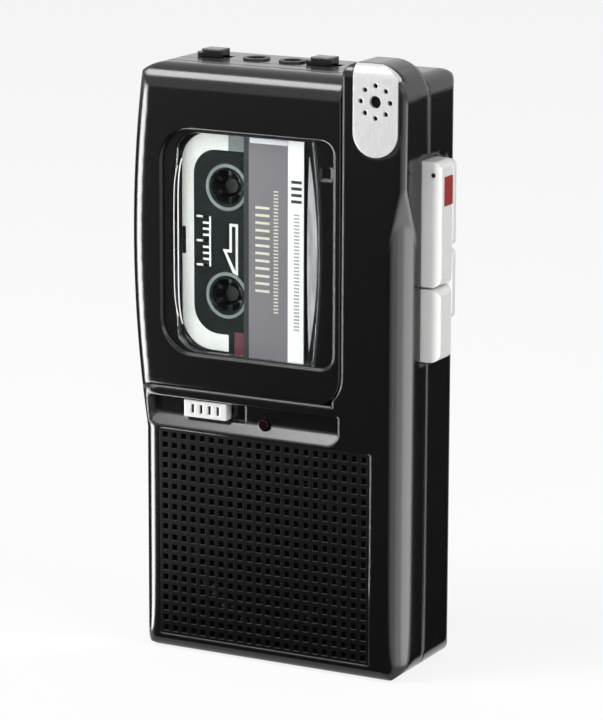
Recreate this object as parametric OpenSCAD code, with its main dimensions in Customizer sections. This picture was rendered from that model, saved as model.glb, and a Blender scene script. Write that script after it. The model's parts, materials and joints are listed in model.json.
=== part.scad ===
// Handheld microcassette recorder, drawn as the separate pieces it comes apart into.
// Frame: X to the right seen from the front, Y to the back, Z up.
// The origin is the middle of the bottom face.

/* [Cabinet] */
// Width between the straight sides
body_w = 57.5; // [57.5:0.5:64]
// Depth from the front face to the back face
body_d = 23; // [23:0.5:27]
// Height of the front below the door
panel_h = 53.4; // [52:0.1:58]
// Thickness of the moulded walls
wall = 1.6; // [1.4:0.1:1.8]
// Depth of the front half, up to the parting line
front_half_d = 10.5; // [10:0.25:11]
// How far the left side swells out
swell = 2.9; // [2:0.1:3.5]
// Radius of the swelling left side
swell_r = 250; // [240:5:290]
// Height of the widest point of the swelling side above the door's lower edge
swell_rise = 29.6; // [27:0.1:32]
// Rounding of the left front edge
left_edge_r = 3.3; // [2:0.1:4]
// Rounding of the rear edges
rear_edge_r = 2; // [1.8:0.1:2.6]
// Rounding of the front edge along the top
top_edge_r = 4.5; // [3:0.1:5]
// Rounding of the bottom corners seen from the front
foot_corner_r = 4; // [3:0.1:5]
// Rounding of the top left corner seen from the front
top_corner_r = 5; // [4:0.1:6]
// Width of the curved right front edge
roll_w = 3.75; // [3:0.05:4.5]
// Depth of the curved right front edge
roll_d = 7; // [6:0.1:7.5]
// Angle that the tighter arc of the curved edge turns through
roll_turn = 60; // [50:1:65]

/* [Microphone tower] */
// Width of the column to the right of the door
column_w = 13.45; // [13:0.05:14]
// Height of the tower above the cabinet top
tower_rise = 3; // [2:0.1:4]
// Rounding of the tower's right shoulder
tower_shoulder_r = 7; // [5:0.1:8]
// Rounding of the tower's front edge along its top
tower_edge_r = 2.5; // [2:0.1:3]
// Rounding of the tower's right front edge
tower_side_r = 1.5; // [1.2:0.1:2]
// Height from the tower top to where the tight edge starts
flare_drop = 37; // [34:1:40]
// Height over which the tight edge fans out
flare_h = 16; // [12:1:20]
// Width of the silver microphone plate
mic_plate_w = 9.4; // [9:0.1:9.8]
// Height of the microphone plate
mic_plate_h = 17; // [15:0.1:18]
// How far the plate stands proud of the tower
mic_plate_rise = 0.25; // [0.1:0.05:0.4]
// How deep the plate is let into the tower
mic_plate_seat = 0.55; // [0.4:0.05:0.7]
// Radius of the middle sound hole
mic_hole_r = 1.2; // [0.9:0.05:1.4]
// Radius of the small sound holes
mic_ring_hole_r = 0.5; // [0.3:0.05:0.6]
// Radius of the ring of small holes
mic_ring_r = 3.1; // [2.6:0.1:3.6]
// Number of small sound holes
mic_ring_n = 8; // [6:1:10]
// Radius of the microphone capsule
capsule_r = 3; // [2.5:0.1:3.2]
// Length of the microphone capsule
capsule_l = 4; // [3:0.1:5]

/* [Grille] */
// Distance between neighbouring grille holes
grille_pitch = 2.1; // [2:0.05:2.15]
// Side of a square grille hole
grille_hole = 1.15; // [0.9:0.05:1.3]
// Number of hole columns
grille_cols = 22; // [18:1:22]
// Thickness of the perforated panel
grille_t = 1; // [0.8:0.05:1.1]
// Plain margin of the panel around the outer holes
grille_margin = 0.6; // [0.4:0.05:0.7]
// Left offset of the grille from the middle
grille_shift = 1.35; // [0.5:0.05:1.6]

/* [Strip] */
// Height of the recessed strip
strip_h = 6.1; // [5.8:0.1:6.4]
// Depth of the recessed strip
strip_d = 1.5; // [1.2:0.1:1.7]
// Height of its sloping lower ledge
ledge_h = 2.3; // [1.8:0.1:2.6]
// Width of the slide knob
mode_w = 9.4; // [8:0.1:10]
// Travel of the slide knob
mode_travel = 3.3; // [2.5:0.1:3.5]
// Radius of the indicator lamp
lamp_r = 1; // [0.8:0.05:1.2]

/* [Door] */
// Height of the door
door_h = 64.6; // [62:0.1:68]
// Depth of the lips on the left and top
door_d = 6; // [5:0.1:6.4]
// Rounding of the lower right corner
door_corner_r = 6.5; // [4:0.1:7]
// Gap around the door
door_gap = 0.4; // [0.3:0.05:0.5]
// Radius of the hinge pin
hinge_pin_r = 0.5; // [0.4:0.05:0.55]
// Running clearance of the hinge pin
hinge_fit = 0.03; // [0.02:0.01:0.05]
// Height from the window recess to the cabinet top
window_top = 12.2; // [11:0.1:13]
// Height from the door's lower edge to the window recess
window_foot = 7.5; // [7:0.1:8.5]
// Width of the window recess
window_w = 38.1; // [37:0.1:38.4]
// Depth of the window recess
window_d = 0.6; // [0.4:0.05:0.8]
// Width of the clear window at its middle
lens_w = 32.1; // [31:0.1:32.4]
// Bulge of each upright side of the clear window
lens_bulge = 1.4; // [0.8:0.1:1.8]

/* [Cassette] */
// Long side of the cassette
cassette_l = 50; // [49.5:0.1:50.4]
// Short side of the cassette
cassette_w = 33; // [32.6:0.1:33.2]
// Thickness of the cassette
cassette_t = 8; // [7.8:0.05:8.1]
// Thickness of the cassette's walls
cassette_wall = 1; // [0.8:0.05:1.1]
// Distance between the hubs
hub_pitch = 21.4; // [21:0.1:22]
// Distance from the cassette's plain edge to the hub line
hub_inset = 11.7; // [11.4:0.1:12.2]
// Outer radius of a hub
hub_r = 5.2; // [4.8:0.1:5.5]
// Radius of the full tape pack
full_pack_r = 10; // [9:0.1:10.2]
// Radius of the smaller tape pack
part_pack_r = 8; // [6.5:0.1:8.4]

/* [Keys] */
// How far the front keys stand out of the side
key_out = 3.5; // [2.8:0.1:3.8]
// How far the rear keys stand out of the side
rear_key_out = 2.6; // [2.3:0.1:3]
// Travel of every key
key_travel = 2; // [1.5:0.1:2.2]
// Width of the front keys
key_w = 6.4; // [5.8:0.1:6.6]
// Width of the rear keys
rear_key_w = 3.1; // [2.8:0.1:3.3]
// Height of the upper front key
record_key_h = 24.4; // [23:0.1:25]
// Height of the lower front key
stop_key_h = 14.2; // [13:0.1:14.6]
// Height of the upper rear key
rewind_key_h = 16.9; // [15:0.1:17.2]
// Height of the lower rear key
forward_key_h = 13.9; // [12:0.1:14.4]
// Gap between neighbouring keys
key_gap = 0.5; // [0.4:0.05:0.7]
// Rounding of the keys' outer edges
key_edge_r = 1.5; // [1:0.1:1.8]

/* [Top controls] */
// Length of a top slide knob
slide_l = 5.4; // [4.8:0.1:5.8]
// Height of a top slide knob
slide_h = 1.5; // [1:0.1:1.8]
// Travel of a top slide knob
slide_travel = 3; // [2:0.1:3.2]
// Bore radius of a jack
jack_r = 1.8; // [1.75:0.05:1.85]
// Depth of a jack's bore
jack_depth = 11.4; // [11:0.1:11.8]
// Outer radius of a jack's collar
jack_collar_r = 2.65; // [2.4:0.05:2.8]
// Distance between the jacks
jack_pitch = 7.9; // [7.4:0.1:8.2]

/* [Volume dial] */
// Radius of the thumb dial
dial_r = 8; // [7.5:0.1:8.2]
// Thickness of the thumb dial
dial_t = 2.4; // [2:0.1:2.6]
// How far the dial stands out of the side
dial_out = 1.2; // [0.8:0.1:1.4]
// Number of grip notches
dial_notches = 36; // [24:1:40]

/* [Power] */
// Diameter of an AA cell
cell_d = 14.3; // [14:0.05:14.4]
// Length of an AA cell with its pole
cell_l = 50.4; // [50:0.1:50.5]
// Height of the battery cover
cover_h = 32.6; // [31.5:0.1:33]
// Width of the battery cover
cover_w = 51.6; // [50:0.1:52]

/* [Mechanism] */
// Thickness of the chassis plate
chassis_t = 1; // [0.8:0.05:1.1]
// Radius of the flywheel
flywheel_r = 5.9; // [5.4:0.1:6]
// Radius of the capstan
capstan_r = 0.75; // [0.6:0.05:0.8]
// Radius of the flywheel's friction hub
friction_hub_r = 2; // [1.7:0.1:2.3]
// Radius of a spindle's turntable
turntable_r = 5.5; // [5:0.1:5.6]
// Radius of the motor
motor_r = 5.9; // [5.5:0.1:6]
// Radius of the motor pulley
pulley_r = 1.6; // [1.3:0.1:1.8]
// Side of the square drive belt
belt_t = 0.9; // [0.7:0.05:1]
// Radius of the pinch roller
roller_r = 2.2; // [2:0.05:2.25]

/* [Hidden] */
$fn = 64;
eps = 0.01;
reach = body_w;
fit = 0.05;
air = 0.3;
slide_air = 0.03;

body_h = panel_h + door_h;
left_x = -body_w / 2;
right_x = body_w / 2;
front_y = -body_d / 2;
back_y = body_d / 2;
inner_front_y = front_y + wall;
inner_back_y = back_y - wall;
parting_y = front_y + front_half_d;
bottom_edge_r = 2;
top_right_r = 3.5;
sharp = 0.2;

// Centre of the swelling side's arc, and the outer left side at a height
swell_z = panel_h + swell_rise;
swell_x = left_x - swell + swell_r;
function left_at(z) = swell_x - sqrt(swell_r * swell_r - (z - swell_z) * (z - swell_z));
corner_z = body_h - top_corner_r;
corner_x = left_at(corner_z) + top_corner_r;

// Two tangent arcs of the curved right front edge
roll_s = sin(roll_turn);
roll_c = cos(roll_turn);
roll_det = roll_s * roll_c - (1 - roll_s) * (1 - roll_c);
roll_r1 = (roll_w * roll_c - (1 - roll_s) * roll_d) / roll_det;
roll_r2 = (roll_s * roll_d - (1 - roll_c) * roll_w) / roll_det;
roll_x = right_x - roll_w;
roll_y = front_y + roll_d;

// Door, hinge and window
door_x1 = right_x - column_w;
door_z0 = panel_h;
door_back_y = front_y + door_d;
bead_r = wall;
hinge_y = front_y + bead_r;
hinge_z = door_z0 + bead_r;
hinge_gap = 0.25;
ear_r = 1;
ear_w = 2;
ear_inset = 2.2;
ear_x0 = left_x + ear_inset;
ear_air = 0.15;
window_side = 1.4;
window_x1 = door_x1 - window_side;
window_x0 = window_x1 - window_w;
window_z1 = body_h - window_top;
window_z0 = door_z0 + window_foot;
lens_margin_x = 2.7;
lens_margin_z = 0.7;
lens_x0 = window_x0 + lens_margin_x;
lens_x1 = lens_x0 + lens_w;
lens_z0 = window_z0 + lens_margin_z;
lens_z1 = window_z1 - lens_margin_z;
lens_z = (lens_z0 + lens_z1) / 2;
lens_side_r = pow((lens_z1 - lens_z0) / 2, 2) / (2 * lens_bulge) + lens_bulge / 2;
panel_inset = 15.3;
panel_w = 13.1;
panel_x0 = lens_x0 + panel_inset;
panel_x1 = panel_x0 + panel_w;
panel_t = 0.4;
panel_lap = 1.2;

// Cabinet edge that follows the door's round corner, and where it crosses the hinge line
fold_x = door_x1 - door_corner_r;
fold_r = door_corner_r + door_gap;
function fold_z(x) = door_z0 + door_corner_r - sqrt(fold_r * fold_r - (x - fold_x) * (x - fold_x));
fold_level_x = fold_x + sqrt(fold_r * fold_r - pow(door_corner_r - bead_r, 2));
fold_air = 0.08;
fold_steps = 8;

// Column and tower
column_x0 = door_x1 + door_gap;
pin_x1 = column_x0 + wall - air;
tower_x0 = column_x0 - 0.1;
tower_z = body_h + tower_rise;
flare_z = tower_z - flare_drop;
mic_x = right_x - 6.05;
mic_plate_z1 = tower_z - 0.6;
mic_plate_z0 = mic_plate_z1 - mic_plate_h;
mic_z = mic_plate_z1 - 6.4;
boot_r = capsule_r + 1.2;
boot_l = capsule_l - 0.5;

// Strip, knob and lamp
strip_z1 = door_z0 - 1.4;
strip_z0 = strip_z1 - strip_h;
strip_x0 = left_x + 1.75;
strip_x1 = door_x1 - 0.3;
strip_floor_y = front_y + strip_d;
strip_back_y = strip_floor_y + 1.6;
strip_rim = 1.2;
pocket_y = strip_back_y - 0.5;
mode_x0 = left_x + 9.55;
mode_h = 3.4;
mode_z = strip_z1 - 0.3 - mode_h / 2;
stem_w = 3;
stem_h = 1.1;
lamp_x = left_x + 27.05;
lamp_z = strip_z0 + ledge_h + 0.2;
shelf_z1 = hinge_z - bead_r - hinge_gap;
shelf_z0 = shelf_z1 - 1.5;

// Grille and speaker
grille_x = -grille_shift;
grille_top_z = strip_z0 - 1.8;
grille_foot = 3.6;
grille_rows = floor((grille_top_z - grille_foot) / grille_pitch) + 1;
grille_z = grille_top_z - (grille_rows - 1) * grille_pitch / 2;
grille_half_w = ((grille_cols - 1) * grille_pitch + grille_hole) / 2 + grille_margin;
grille_half_h = ((grille_rows - 1) * grille_pitch + grille_hole) / 2 + grille_margin;
speaker_inset = 3.1;
speaker_rim = 1.2;
speaker_r = grille_half_h - speaker_inset;
sound_r = speaker_r - speaker_rim;
cone_r = sound_r - 1 - fit;
magnet_r = 8.5;
speaker_y = inner_front_y;
basket_y = speaker_y + 2.6;
magnet_y = basket_y + 2;

// Cassette and the mechanism behind it
window_room = 0.8;
cassette_y0 = inner_front_y + window_room;
cassette_y1 = cassette_y0 + cassette_t;
cassette_x1 = door_x1 - 4.3;
cassette_x0 = cassette_x1 - cassette_w;
door_room = body_h - top_edge_r - hinge_z - bead_r;
cassette_z0 = hinge_z + bead_r + (door_room - cassette_l) / 3;
cassette_z1 = cassette_z0 + cassette_l;
cassette_z = cassette_z0 + cassette_l / 2;
hub_x = cassette_x0 + hub_inset;
take_up_z = cassette_z - hub_pitch / 2;
supply_z = cassette_z + hub_pitch / 2;
capstan_x = cassette_x1 - 3.4;
capstan_z = take_up_z;
chassis_y0 = cassette_y1 + air;
chassis_y1 = chassis_y0 + chassis_t;
chassis_x0 = left_x + 0.6;
chassis_inset = 6.75;
chassis_x1 = right_x - chassis_inset;
chassis_z0 = hinge_z + 1.2;
chassis_z1 = cassette_z1 - 0.6;
fly_y0 = chassis_y1 + 0.6;
fly_y1 = fly_y0 + 2.4;
idle_y0 = fly_y1 + 0.2;
idle_y1 = idle_y0 + 1.4;
belt_y = (fly_y0 + fly_y1) / 2;
belt_gap = 0.03;
idler_span = capstan_x - hub_x - friction_hub_r - turntable_r;
idler_r = idler_span / 2 - 0.1;
idler_x = capstan_x - friction_hub_r - idler_span / 2;
idler_pin_r = 0.6;
spindle_r = 1;
spindle_head_r = 1.9;
hub_bore_r = spindle_head_r + 0.3;
shell_hole_r = 3.4;
motor_shift = 6.4;
motor_x = capstan_x + motor_shift;
motor_z = shelf_z0 - motor_r - air / 2;
motor_y0 = strip_back_y + 0.2;
motor_plate_x0 = motor_x - motor_r - 1;
motor_plate_x1 = motor_x + motor_r;
motor_plate_z0 = motor_z - 4;
motor_shaft_r = 0.6;

// Head sled
pad_r = 1.2;
pad_inset = 5;
sled_air = 0.5;
sled_y1 = chassis_y0 - air;
sled_y0 = sled_y1 - 1;
sled_x0 = cassette_x1 + key_travel + air;
sled_x1 = chassis_x1 + 0.5;
sled_z0 = take_up_z - 4.2;
sled_z1 = supply_z + 2.4;
head_x0 = cassette_x1 + 0.7;
head_x1 = head_x0 + 3.6;
head_z = cassette_z;
erase_z = head_z + 7.7;
roller_x = capstan_x + capstan_r + roller_r + 0.35 + key_travel;
roller_y0 = cassette_y0 + 1.6;
roller_y1 = sled_y0 - 0.3;
roller_pin_r = 0.5;

// Side keys, numbered from the front column to the rear column
key_y0 = front_y + 8.1;
key_y1 = key_y0 + key_w;
rear_key_y0 = key_y1 + key_gap;
rear_key_y1 = rear_key_y0 + rear_key_w;
key_top_z = cassette_z + 18.1;
key_in_x = right_x - 3;
stop_top_z = key_top_z - record_key_h - key_gap;
key_bottom_z = stop_top_z - stop_key_h;
rewind_top_z = key_top_z - 0.8;
forward_top_z = rewind_top_z - rewind_key_h - key_gap;
key_margin = 0.4;
mark_z1 = key_top_z - 3.2;
mark_h = 5.6;
mark_w = 3.6;
mark_t = 0.4;

// Top controls
top_inset = 14.7;
speed_inset = 5.75;
ear_jack_inset = 18.05;
pause_inset = 29.85;
top_y = front_y + top_inset;
speed_x0 = left_x + speed_inset;
pause_x0 = left_x + pause_inset;
ear_jack_x = left_x + ear_jack_inset;
mic_jack_x = ear_jack_x + jack_pitch;
jack_w = 6.6;
jack_rise = 0.35;
jack_floor = 0.6;
slide_w = 3.4;
slide_stem = 2;
slide_stem_w = 1.6;
switch_inset = 1.6;
switch_l = 6.6;
switch_drop = 0.8;
switch_z1 = body_h - wall - switch_drop;
switch_z0 = cassette_z1 - 2.5;

// Volume dial
dial_z = hinge_z + 7;
dial_x = left_at(dial_z) + dial_r - dial_out;
dial_y0 = chassis_y1 + 3.2;
dial_y1 = dial_y0 + dial_t;
dial_bore_r = 1.5;

// Board and power
board_t = 1.2;
board_y1 = inner_back_y - 1.3;
board_y0 = board_y1 - board_t;
board_x0 = left_x + 2.75;
board_x1 = right_x - chassis_inset;
board_z0 = strip_z0 + 0.1;
board_z1 = cassette_z1 + 0.1;
// Chips on the board: place from its lower left corner, width and height
chip_h = 1.3;
chips = [[20, 8, 10, 6], [30, 40, 9, 9], [10, 34, 8, 5]];
cell_r = cell_d / 2;
cell_y = inner_back_y - 0.25 - cell_r;
cell_z0 = wall + 0.25 + cell_r;
cell_z1 = cell_z0 + cell_d + 0.3;
bay_shelf_z = cover_h + 0.4;
rail_t = 0.8;
rail_end = 2.5;
cover_gap = 0.2;
rail_x0 = cell_l / 2 + cover_gap;
rail_x1 = cover_w / 2 + 1;

// Screws
screw_r = 0.8;
screw_hole_l = 3.2;
chassis_boss_h = 4.2;
screw_head_r = 1.7;
front_boss_r = 2.4;
rear_boss_r = 2.8;
chassis_boss_r = 2.6;
boss_inset = 3.55;
boss_rise = 4.5;
boss_x = right_x - boss_inset;
case_screw_at = [
    [corner_x - 0.66, corner_z + 1.2],
    [boss_x, key_top_z + boss_rise],
    [-boss_x, bay_shelf_z + 9],
    [boss_x, bay_shelf_z + 5]
];
case_boss_y0 = [door_back_y + 0.9, inner_front_y + 1.9, inner_front_y + 1.9, inner_front_y + 1.9];
chassis_screw_at = [
    [left_at(hinge_z + 7) + 4, hinge_z + 7],
    [left_at(chassis_z1 - 8) + 4, chassis_z1 - 8],
    [column_x0 + wall + 1.9, chassis_z1 - 4.2],
    [column_x0 + wall + 1.9, chassis_z0 + 3.6]
];

black = "#1b1b1c";
silver = "#cfd0d2";
steel = "#a9abad";

// Flat outline (x, z) pushed along Y from y0 to y1
module along_y(y0, y1) {
    translate([0, y1, 0]) rotate([90, 0, 0]) linear_extrude(y1 - y0) children();
}

// Flat outline (y, z) pushed along X from x0 to x1
module along_x(x0, x1) {
    translate([x0, 0, 0]) rotate([90, 0, 90]) linear_extrude(x1 - x0) children();
}

// Flat outline (x, y) pushed along Z from z0 to z1
module along_z(z0, z1) {
    translate([0, 0, z0]) linear_extrude(z1 - z0) children();
}

module box(low, high) {
    translate(low) cube(high - low);
}

module rod_x(y, z, x0, x1, r) {
    translate([x0, y, z]) rotate([0, 90, 0]) cylinder(r = r, h = x1 - x0);
}

module rod_y(x, z, y0, y1, r) {
    translate([x, y0, z]) rotate([-90, 0, 0]) cylinder(r = r, h = y1 - y0);
}

module rod_z(x, y, z0, z1, r) {
    translate([x, y, z0]) cylinder(r = r, h = z1 - z0);
}

// Profile (radius, x) turned about an axis along X through (y, z)
module turned_x(y, z) {
    translate([0, y, z]) rotate([0, 90, 0]) rotate_extrude() children();
}

// Profile (radius, depth) turned about an axis along Y through (x, z)
module turned_y(x, z) {
    translate([x, 0, z]) rotate([-90, 0, 0]) rotate_extrude() children();
}

// Rectangle with its own radius at each corner, from the lower left round to the upper left
module rounded_box(x0, y0, x1, y1, r) {
    polygon([
        [x0 + r[0], y0], [x1 - r[1], y0], [x1, y0 + r[1]], [x1, y1 - r[2]],
        [x1 - r[2], y1], [x0 + r[3], y1], [x0, y1 - r[3]], [x0, y0 + r[0]]
    ]);
    translate([x0 + r[0], y0 + r[0]]) circle(r[0]);
    translate([x1 - r[1], y0 + r[1]]) circle(r[1]);
    translate([x1 - r[2], y1 - r[2]]) circle(r[2]);
    translate([x0 + r[3], y1 - r[3]]) circle(r[3]);
}

// Cabinet outlines from the side (y, z), from above (x, y) and from the front (x, z)
module side_outline() {
    rounded_box(front_y, 0, back_y, body_h, [bottom_edge_r, rear_edge_r, rear_edge_r, top_edge_r]);
}

module plan_outline() {
    join = [roll_x + roll_r1 * roll_s, front_y + roll_r1 * (1 - roll_c)];
    polygon([
        [left_x + left_edge_r, front_y], [roll_x, front_y], join, [right_x, roll_y],
        [right_x, back_y - rear_edge_r], [right_x - rear_edge_r, back_y], [left_x + rear_edge_r, back_y],
        [left_x, back_y - rear_edge_r], [left_x, front_y + left_edge_r]
    ]);
    translate([left_x + left_edge_r, front_y + left_edge_r]) circle(left_edge_r);
    translate([right_x - rear_edge_r, back_y - rear_edge_r]) circle(rear_edge_r);
    translate([left_x + rear_edge_r, back_y - rear_edge_r]) circle(rear_edge_r);
    translate([roll_x, front_y + roll_r1]) circle(roll_r1);
    intersection() {
        translate([right_x - roll_r2, roll_y]) circle(roll_r2);
        polygon([join, [right_x + roll_w, join[1]], [right_x + roll_w, roll_y], [right_x, roll_y]]);
    }
}

module straight_outline() {
    rounded_box(left_x, 0, right_x, body_h, [foot_corner_r, foot_corner_r, top_right_r, sharp]);
}

// Slice of a large disc whose section (radius, depth) is given
module swelling_slice() {
    turn = 2 * acos(1 - swell / swell_r) + 1;
    translate([swell_x, 0, swell_z]) rotate([90, 0, 0]) rotate([0, 0, 180 - turn / 2])
        rotate_extrude(angle = turn, $fn = 180) children();
}

// Whole outer form
module envelope() {
    difference() {
        intersection() {
            along_x(-reach, reach) side_outline();
            union() {
                intersection() {
                    along_z(0, body_h) plan_outline();
                    along_y(front_y, back_y) straight_outline();
                }
                swelling_slice()
                    rounded_box(swell_r - 4 * swell, -back_y, swell_r, -front_y,
                                [sharp, rear_edge_r, left_edge_r, sharp]);
            }
        }
        difference() {
            box([-reach, front_y - 1, corner_z], [corner_x, back_y + 1, body_h + 1]);
            rod_y(corner_x, corner_z, front_y - 2, back_y + 2, top_corner_r);
        }
    }
}

// Inside of the walls: plain faces, with a slope behind each of the large outer roundings
module hollow() {
    top_slope = top_edge_r - wall;
    corner_slope = top_corner_r - wall;
    difference() {
        intersection() {
            along_x(-reach, reach)
                polygon([
                    [inner_front_y, wall], [inner_back_y, wall], [inner_back_y, body_h - wall],
                    [inner_front_y + top_slope, body_h - wall], [inner_front_y, body_h - wall - top_slope]
                ]);
            union() {
                along_z(0, body_h)
                    polygon([
                        [left_x + wall, inner_front_y], [roll_x - wall / 2, inner_front_y],
                        [right_x - wall, roll_y - wall / 2], [right_x - wall, inner_back_y],
                        [left_x + wall, inner_back_y]
                    ]);
                swelling_slice()
                    translate([swell_r - 4 * swell, -inner_back_y])
                        square([4 * swell - wall, inner_back_y - inner_front_y]);
            }
        }
        along_y(front_y, back_y)
            polygon([
                [-reach, corner_z], [corner_x - corner_slope, corner_z],
                [corner_x, corner_z + corner_slope], [corner_x, tower_z], [-reach, tower_z]
            ]);
    }
}

module front_half() {
    intersection() {
        children();
        box([-reach, front_y - 1, -1], [reach, parting_y, tower_z + 1]);
    }
}

module rear_half() {
    intersection() {
        children();
        box([-reach, parting_y, -1], [reach, back_y + 1, tower_z + 1]);
    }
}

// Microphone tower, drawn in by i, with its tight edge fanning out into the curved edge below
module tower(i) {
    flare = [flare_h * -roll_d, flare_h * roll_w, roll_w * roll_d];
    tilt = acos(-flare[2] / norm(flare));
    turn = atan2(-flare[1], -flare[0]);
    difference() {
        intersection() {
            along_y(front_y + i, parting_y)
                rounded_box(tower_x0 + i, flare_z - roll_w, right_x - i, tower_z - i,
                            [sharp, sharp, tower_shoulder_r - i, tower_edge_r - i]);
            along_x(tower_x0, right_x)
                rounded_box(front_y + i, flare_z - roll_w, back_y, tower_z - i,
                            [sharp, sharp, sharp, tower_edge_r - i]);
            along_z(flare_z - roll_w, tower_z + 1)
                rounded_box(tower_x0, front_y + i, right_x - i, back_y,
                            [sharp, tower_side_r, sharp, sharp]);
        }
        translate([roll_x, front_y, flare_z]) rotate([0, tilt, turn])
            box([-reach, -reach, 0], [reach, reach, reach]);
    }
}

// Inside of the tower above the cabinet's own roof, closed towards the back
module tower_hollow() {
    box([column_x0 + wall, inner_front_y, body_h - 2 * wall],
        [right_x - wall - tower_side_r, parting_y - wall, tower_z - wall]);
}

// Door outline from the side (y, z): panel and lips, and the round bead on the hinge
module door_side(gap) {
    translate([front_y - 1, hinge_z - gap]) square([door_d + 1 + gap, tower_z]);
    translate([hinge_y, hinge_z]) circle(bead_r + gap);
}

module door_face(gap) {
    rounded_box(-reach, door_z0 - gap, door_x1 + gap, body_h + reach,
                [sharp, door_corner_r + gap, sharp, sharp]);
}

// Space that the door needs in the cabinet
module door_space() {
    intersection() {
        along_x(-reach, door_x1 + door_gap) {
            translate([front_y - 1, hinge_z - door_gap]) square([door_d + 1 + door_gap, tower_z]);
            translate([hinge_y, hinge_z]) circle(bead_r + hinge_gap);
        }
        along_y(front_y - 1, back_y) door_face(door_gap);
    }
    // The bead turns in its own round groove, up to where the corner rises past the hinge line
    rod_x(hinge_y, hinge_z, fold_x, fold_level_x, bead_r + hinge_gap);
}

// What the swinging corner of the door has to leave free of the cabinet edge in front of it
module corner_relief() {
    step = (door_x1 - fold_level_x) / fold_steps;
    turned_x(hinge_y, hinge_z)
        polygon([
            [0, fold_level_x],
            for (i = [0 : fold_steps])
                [norm([bead_r, fold_z(fold_level_x + i * step) - hinge_z]) + fold_air, fold_level_x + i * step],
            [0, door_x1]
        ]);
}

// Clear window outline, bulging at both uprights
module lens_outline(gap) {
    intersection() {
        rounded_box(lens_x0 - gap, lens_z0 - gap, lens_x1 + gap, lens_z1 + gap, [6, 1, 1, 6]);
        translate([lens_x1 + gap - lens_side_r, lens_z]) circle(lens_side_r, $fn = 180);
        translate([lens_x0 - gap + lens_side_r, lens_z]) circle(lens_side_r, $fn = 180);
    }
}

module mic_tongue(gap) {
    half = mic_plate_w / 2 + gap;
    translate([mic_x, mic_plate_z0 + mic_plate_w / 2]) circle(half);
    translate([mic_x - half, mic_plate_z0 + mic_plate_w / 2]) square([2 * half, mic_plate_h]);
}

// Recessed strip: flat floor above a sloping ledge, round at the right end
module strip_recess() {
    intersection() {
        along_x(strip_x0, strip_x1)
            polygon([
                [front_y - strip_d, strip_z0 - ledge_h], [strip_floor_y, strip_z0 + ledge_h],
                [strip_floor_y, strip_z1], [front_y - strip_d, strip_z1]
            ]);
        along_y(front_y - 1, strip_back_y)
            rounded_box(strip_x0, strip_z0, strip_x1, strip_z1, [sharp, strip_h / 2 - sharp, sharp, sharp]);
    }
}

// Pocket in which the slide knob runs, with the slot for its stem
module mode_pocket() {
    x1 = mode_x0 + mode_w + mode_travel;
    box([mode_x0 - air, front_y - 1, mode_z - mode_h / 2 - air], [x1 + air, pocket_y, strip_z1]);
    box([mode_stem_x() - air, pocket_y - eps, mode_z - stem_h / 2 - air],
        [mode_stem_x() + stem_w + mode_travel + air, strip_back_y + 1, mode_z + stem_h / 2 + air]);
}

function mode_stem_x() = mode_x0 + (mode_w - stem_w) / 2;

// Opening in the right side for each column of keys
module key_opening() {
    box([right_x - 2 * wall, key_y0 - key_margin, key_bottom_z - key_margin],
        [right_x + 1, key_y1 + key_margin, key_top_z + key_margin]);
    box([right_x - 2 * wall, rear_key_y0 - key_margin, forward_top_z - forward_key_h - key_margin],
        [right_x + 1, rear_key_y1 + key_margin, rewind_top_z + key_margin]);
}

// Ear that carries the left end of the hinge pin
module hinge_ear() {
    rod_x(hinge_y, hinge_z, ear_x0, ear_x0 + ear_w, ear_r);
    box([ear_x0, hinge_y, hinge_z - ear_r / 4], [ear_x0 + ear_w, hinge_y + 4, hinge_z + ear_r]);
    box([ear_x0, hinge_y + 2.3, shelf_z0], [ear_x0 + ear_w, hinge_y + 4, hinge_z + ear_r]);
}

// Front half with its inner walls and screw bosses, before the openings are cut
module front_walls() {
    difference() {
        union() {
            front_half() envelope();
            tower(0);
        }
        hollow();
        tower_hollow();
    }
    // Wall between the cassette well and the column
    box([column_x0, inner_front_y - eps, shelf_z0],
        [column_x0 + wall, sled_y0 - sled_air, body_h - wall / 2]);
    // Shelf under the cassette well
    box([left_at(shelf_z0) + wall / 2, inner_front_y - eps, shelf_z0],
        [column_x0 + wall, parting_y, shelf_z1]);
    // Backing of the strip
    box([left_x + wall - eps, inner_front_y - eps, strip_z0 - strip_rim],
        [column_x0 + wall, strip_back_y, shelf_z0 + eps]);
    for (i = [0 : len(case_screw_at) - 1])
        rod_y(case_screw_at[i][0], case_screw_at[i][1], case_boss_y0[i], parting_y, front_boss_r);
    for (at = chassis_screw_at) {
        rod_y(at[0], at[1], chassis_y0 - chassis_boss_h, parting_y, chassis_boss_r);
        rod_y(at[0], at[1], parting_y - eps, chassis_y0, chassis_boss_r - 1);
    }
}

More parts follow.
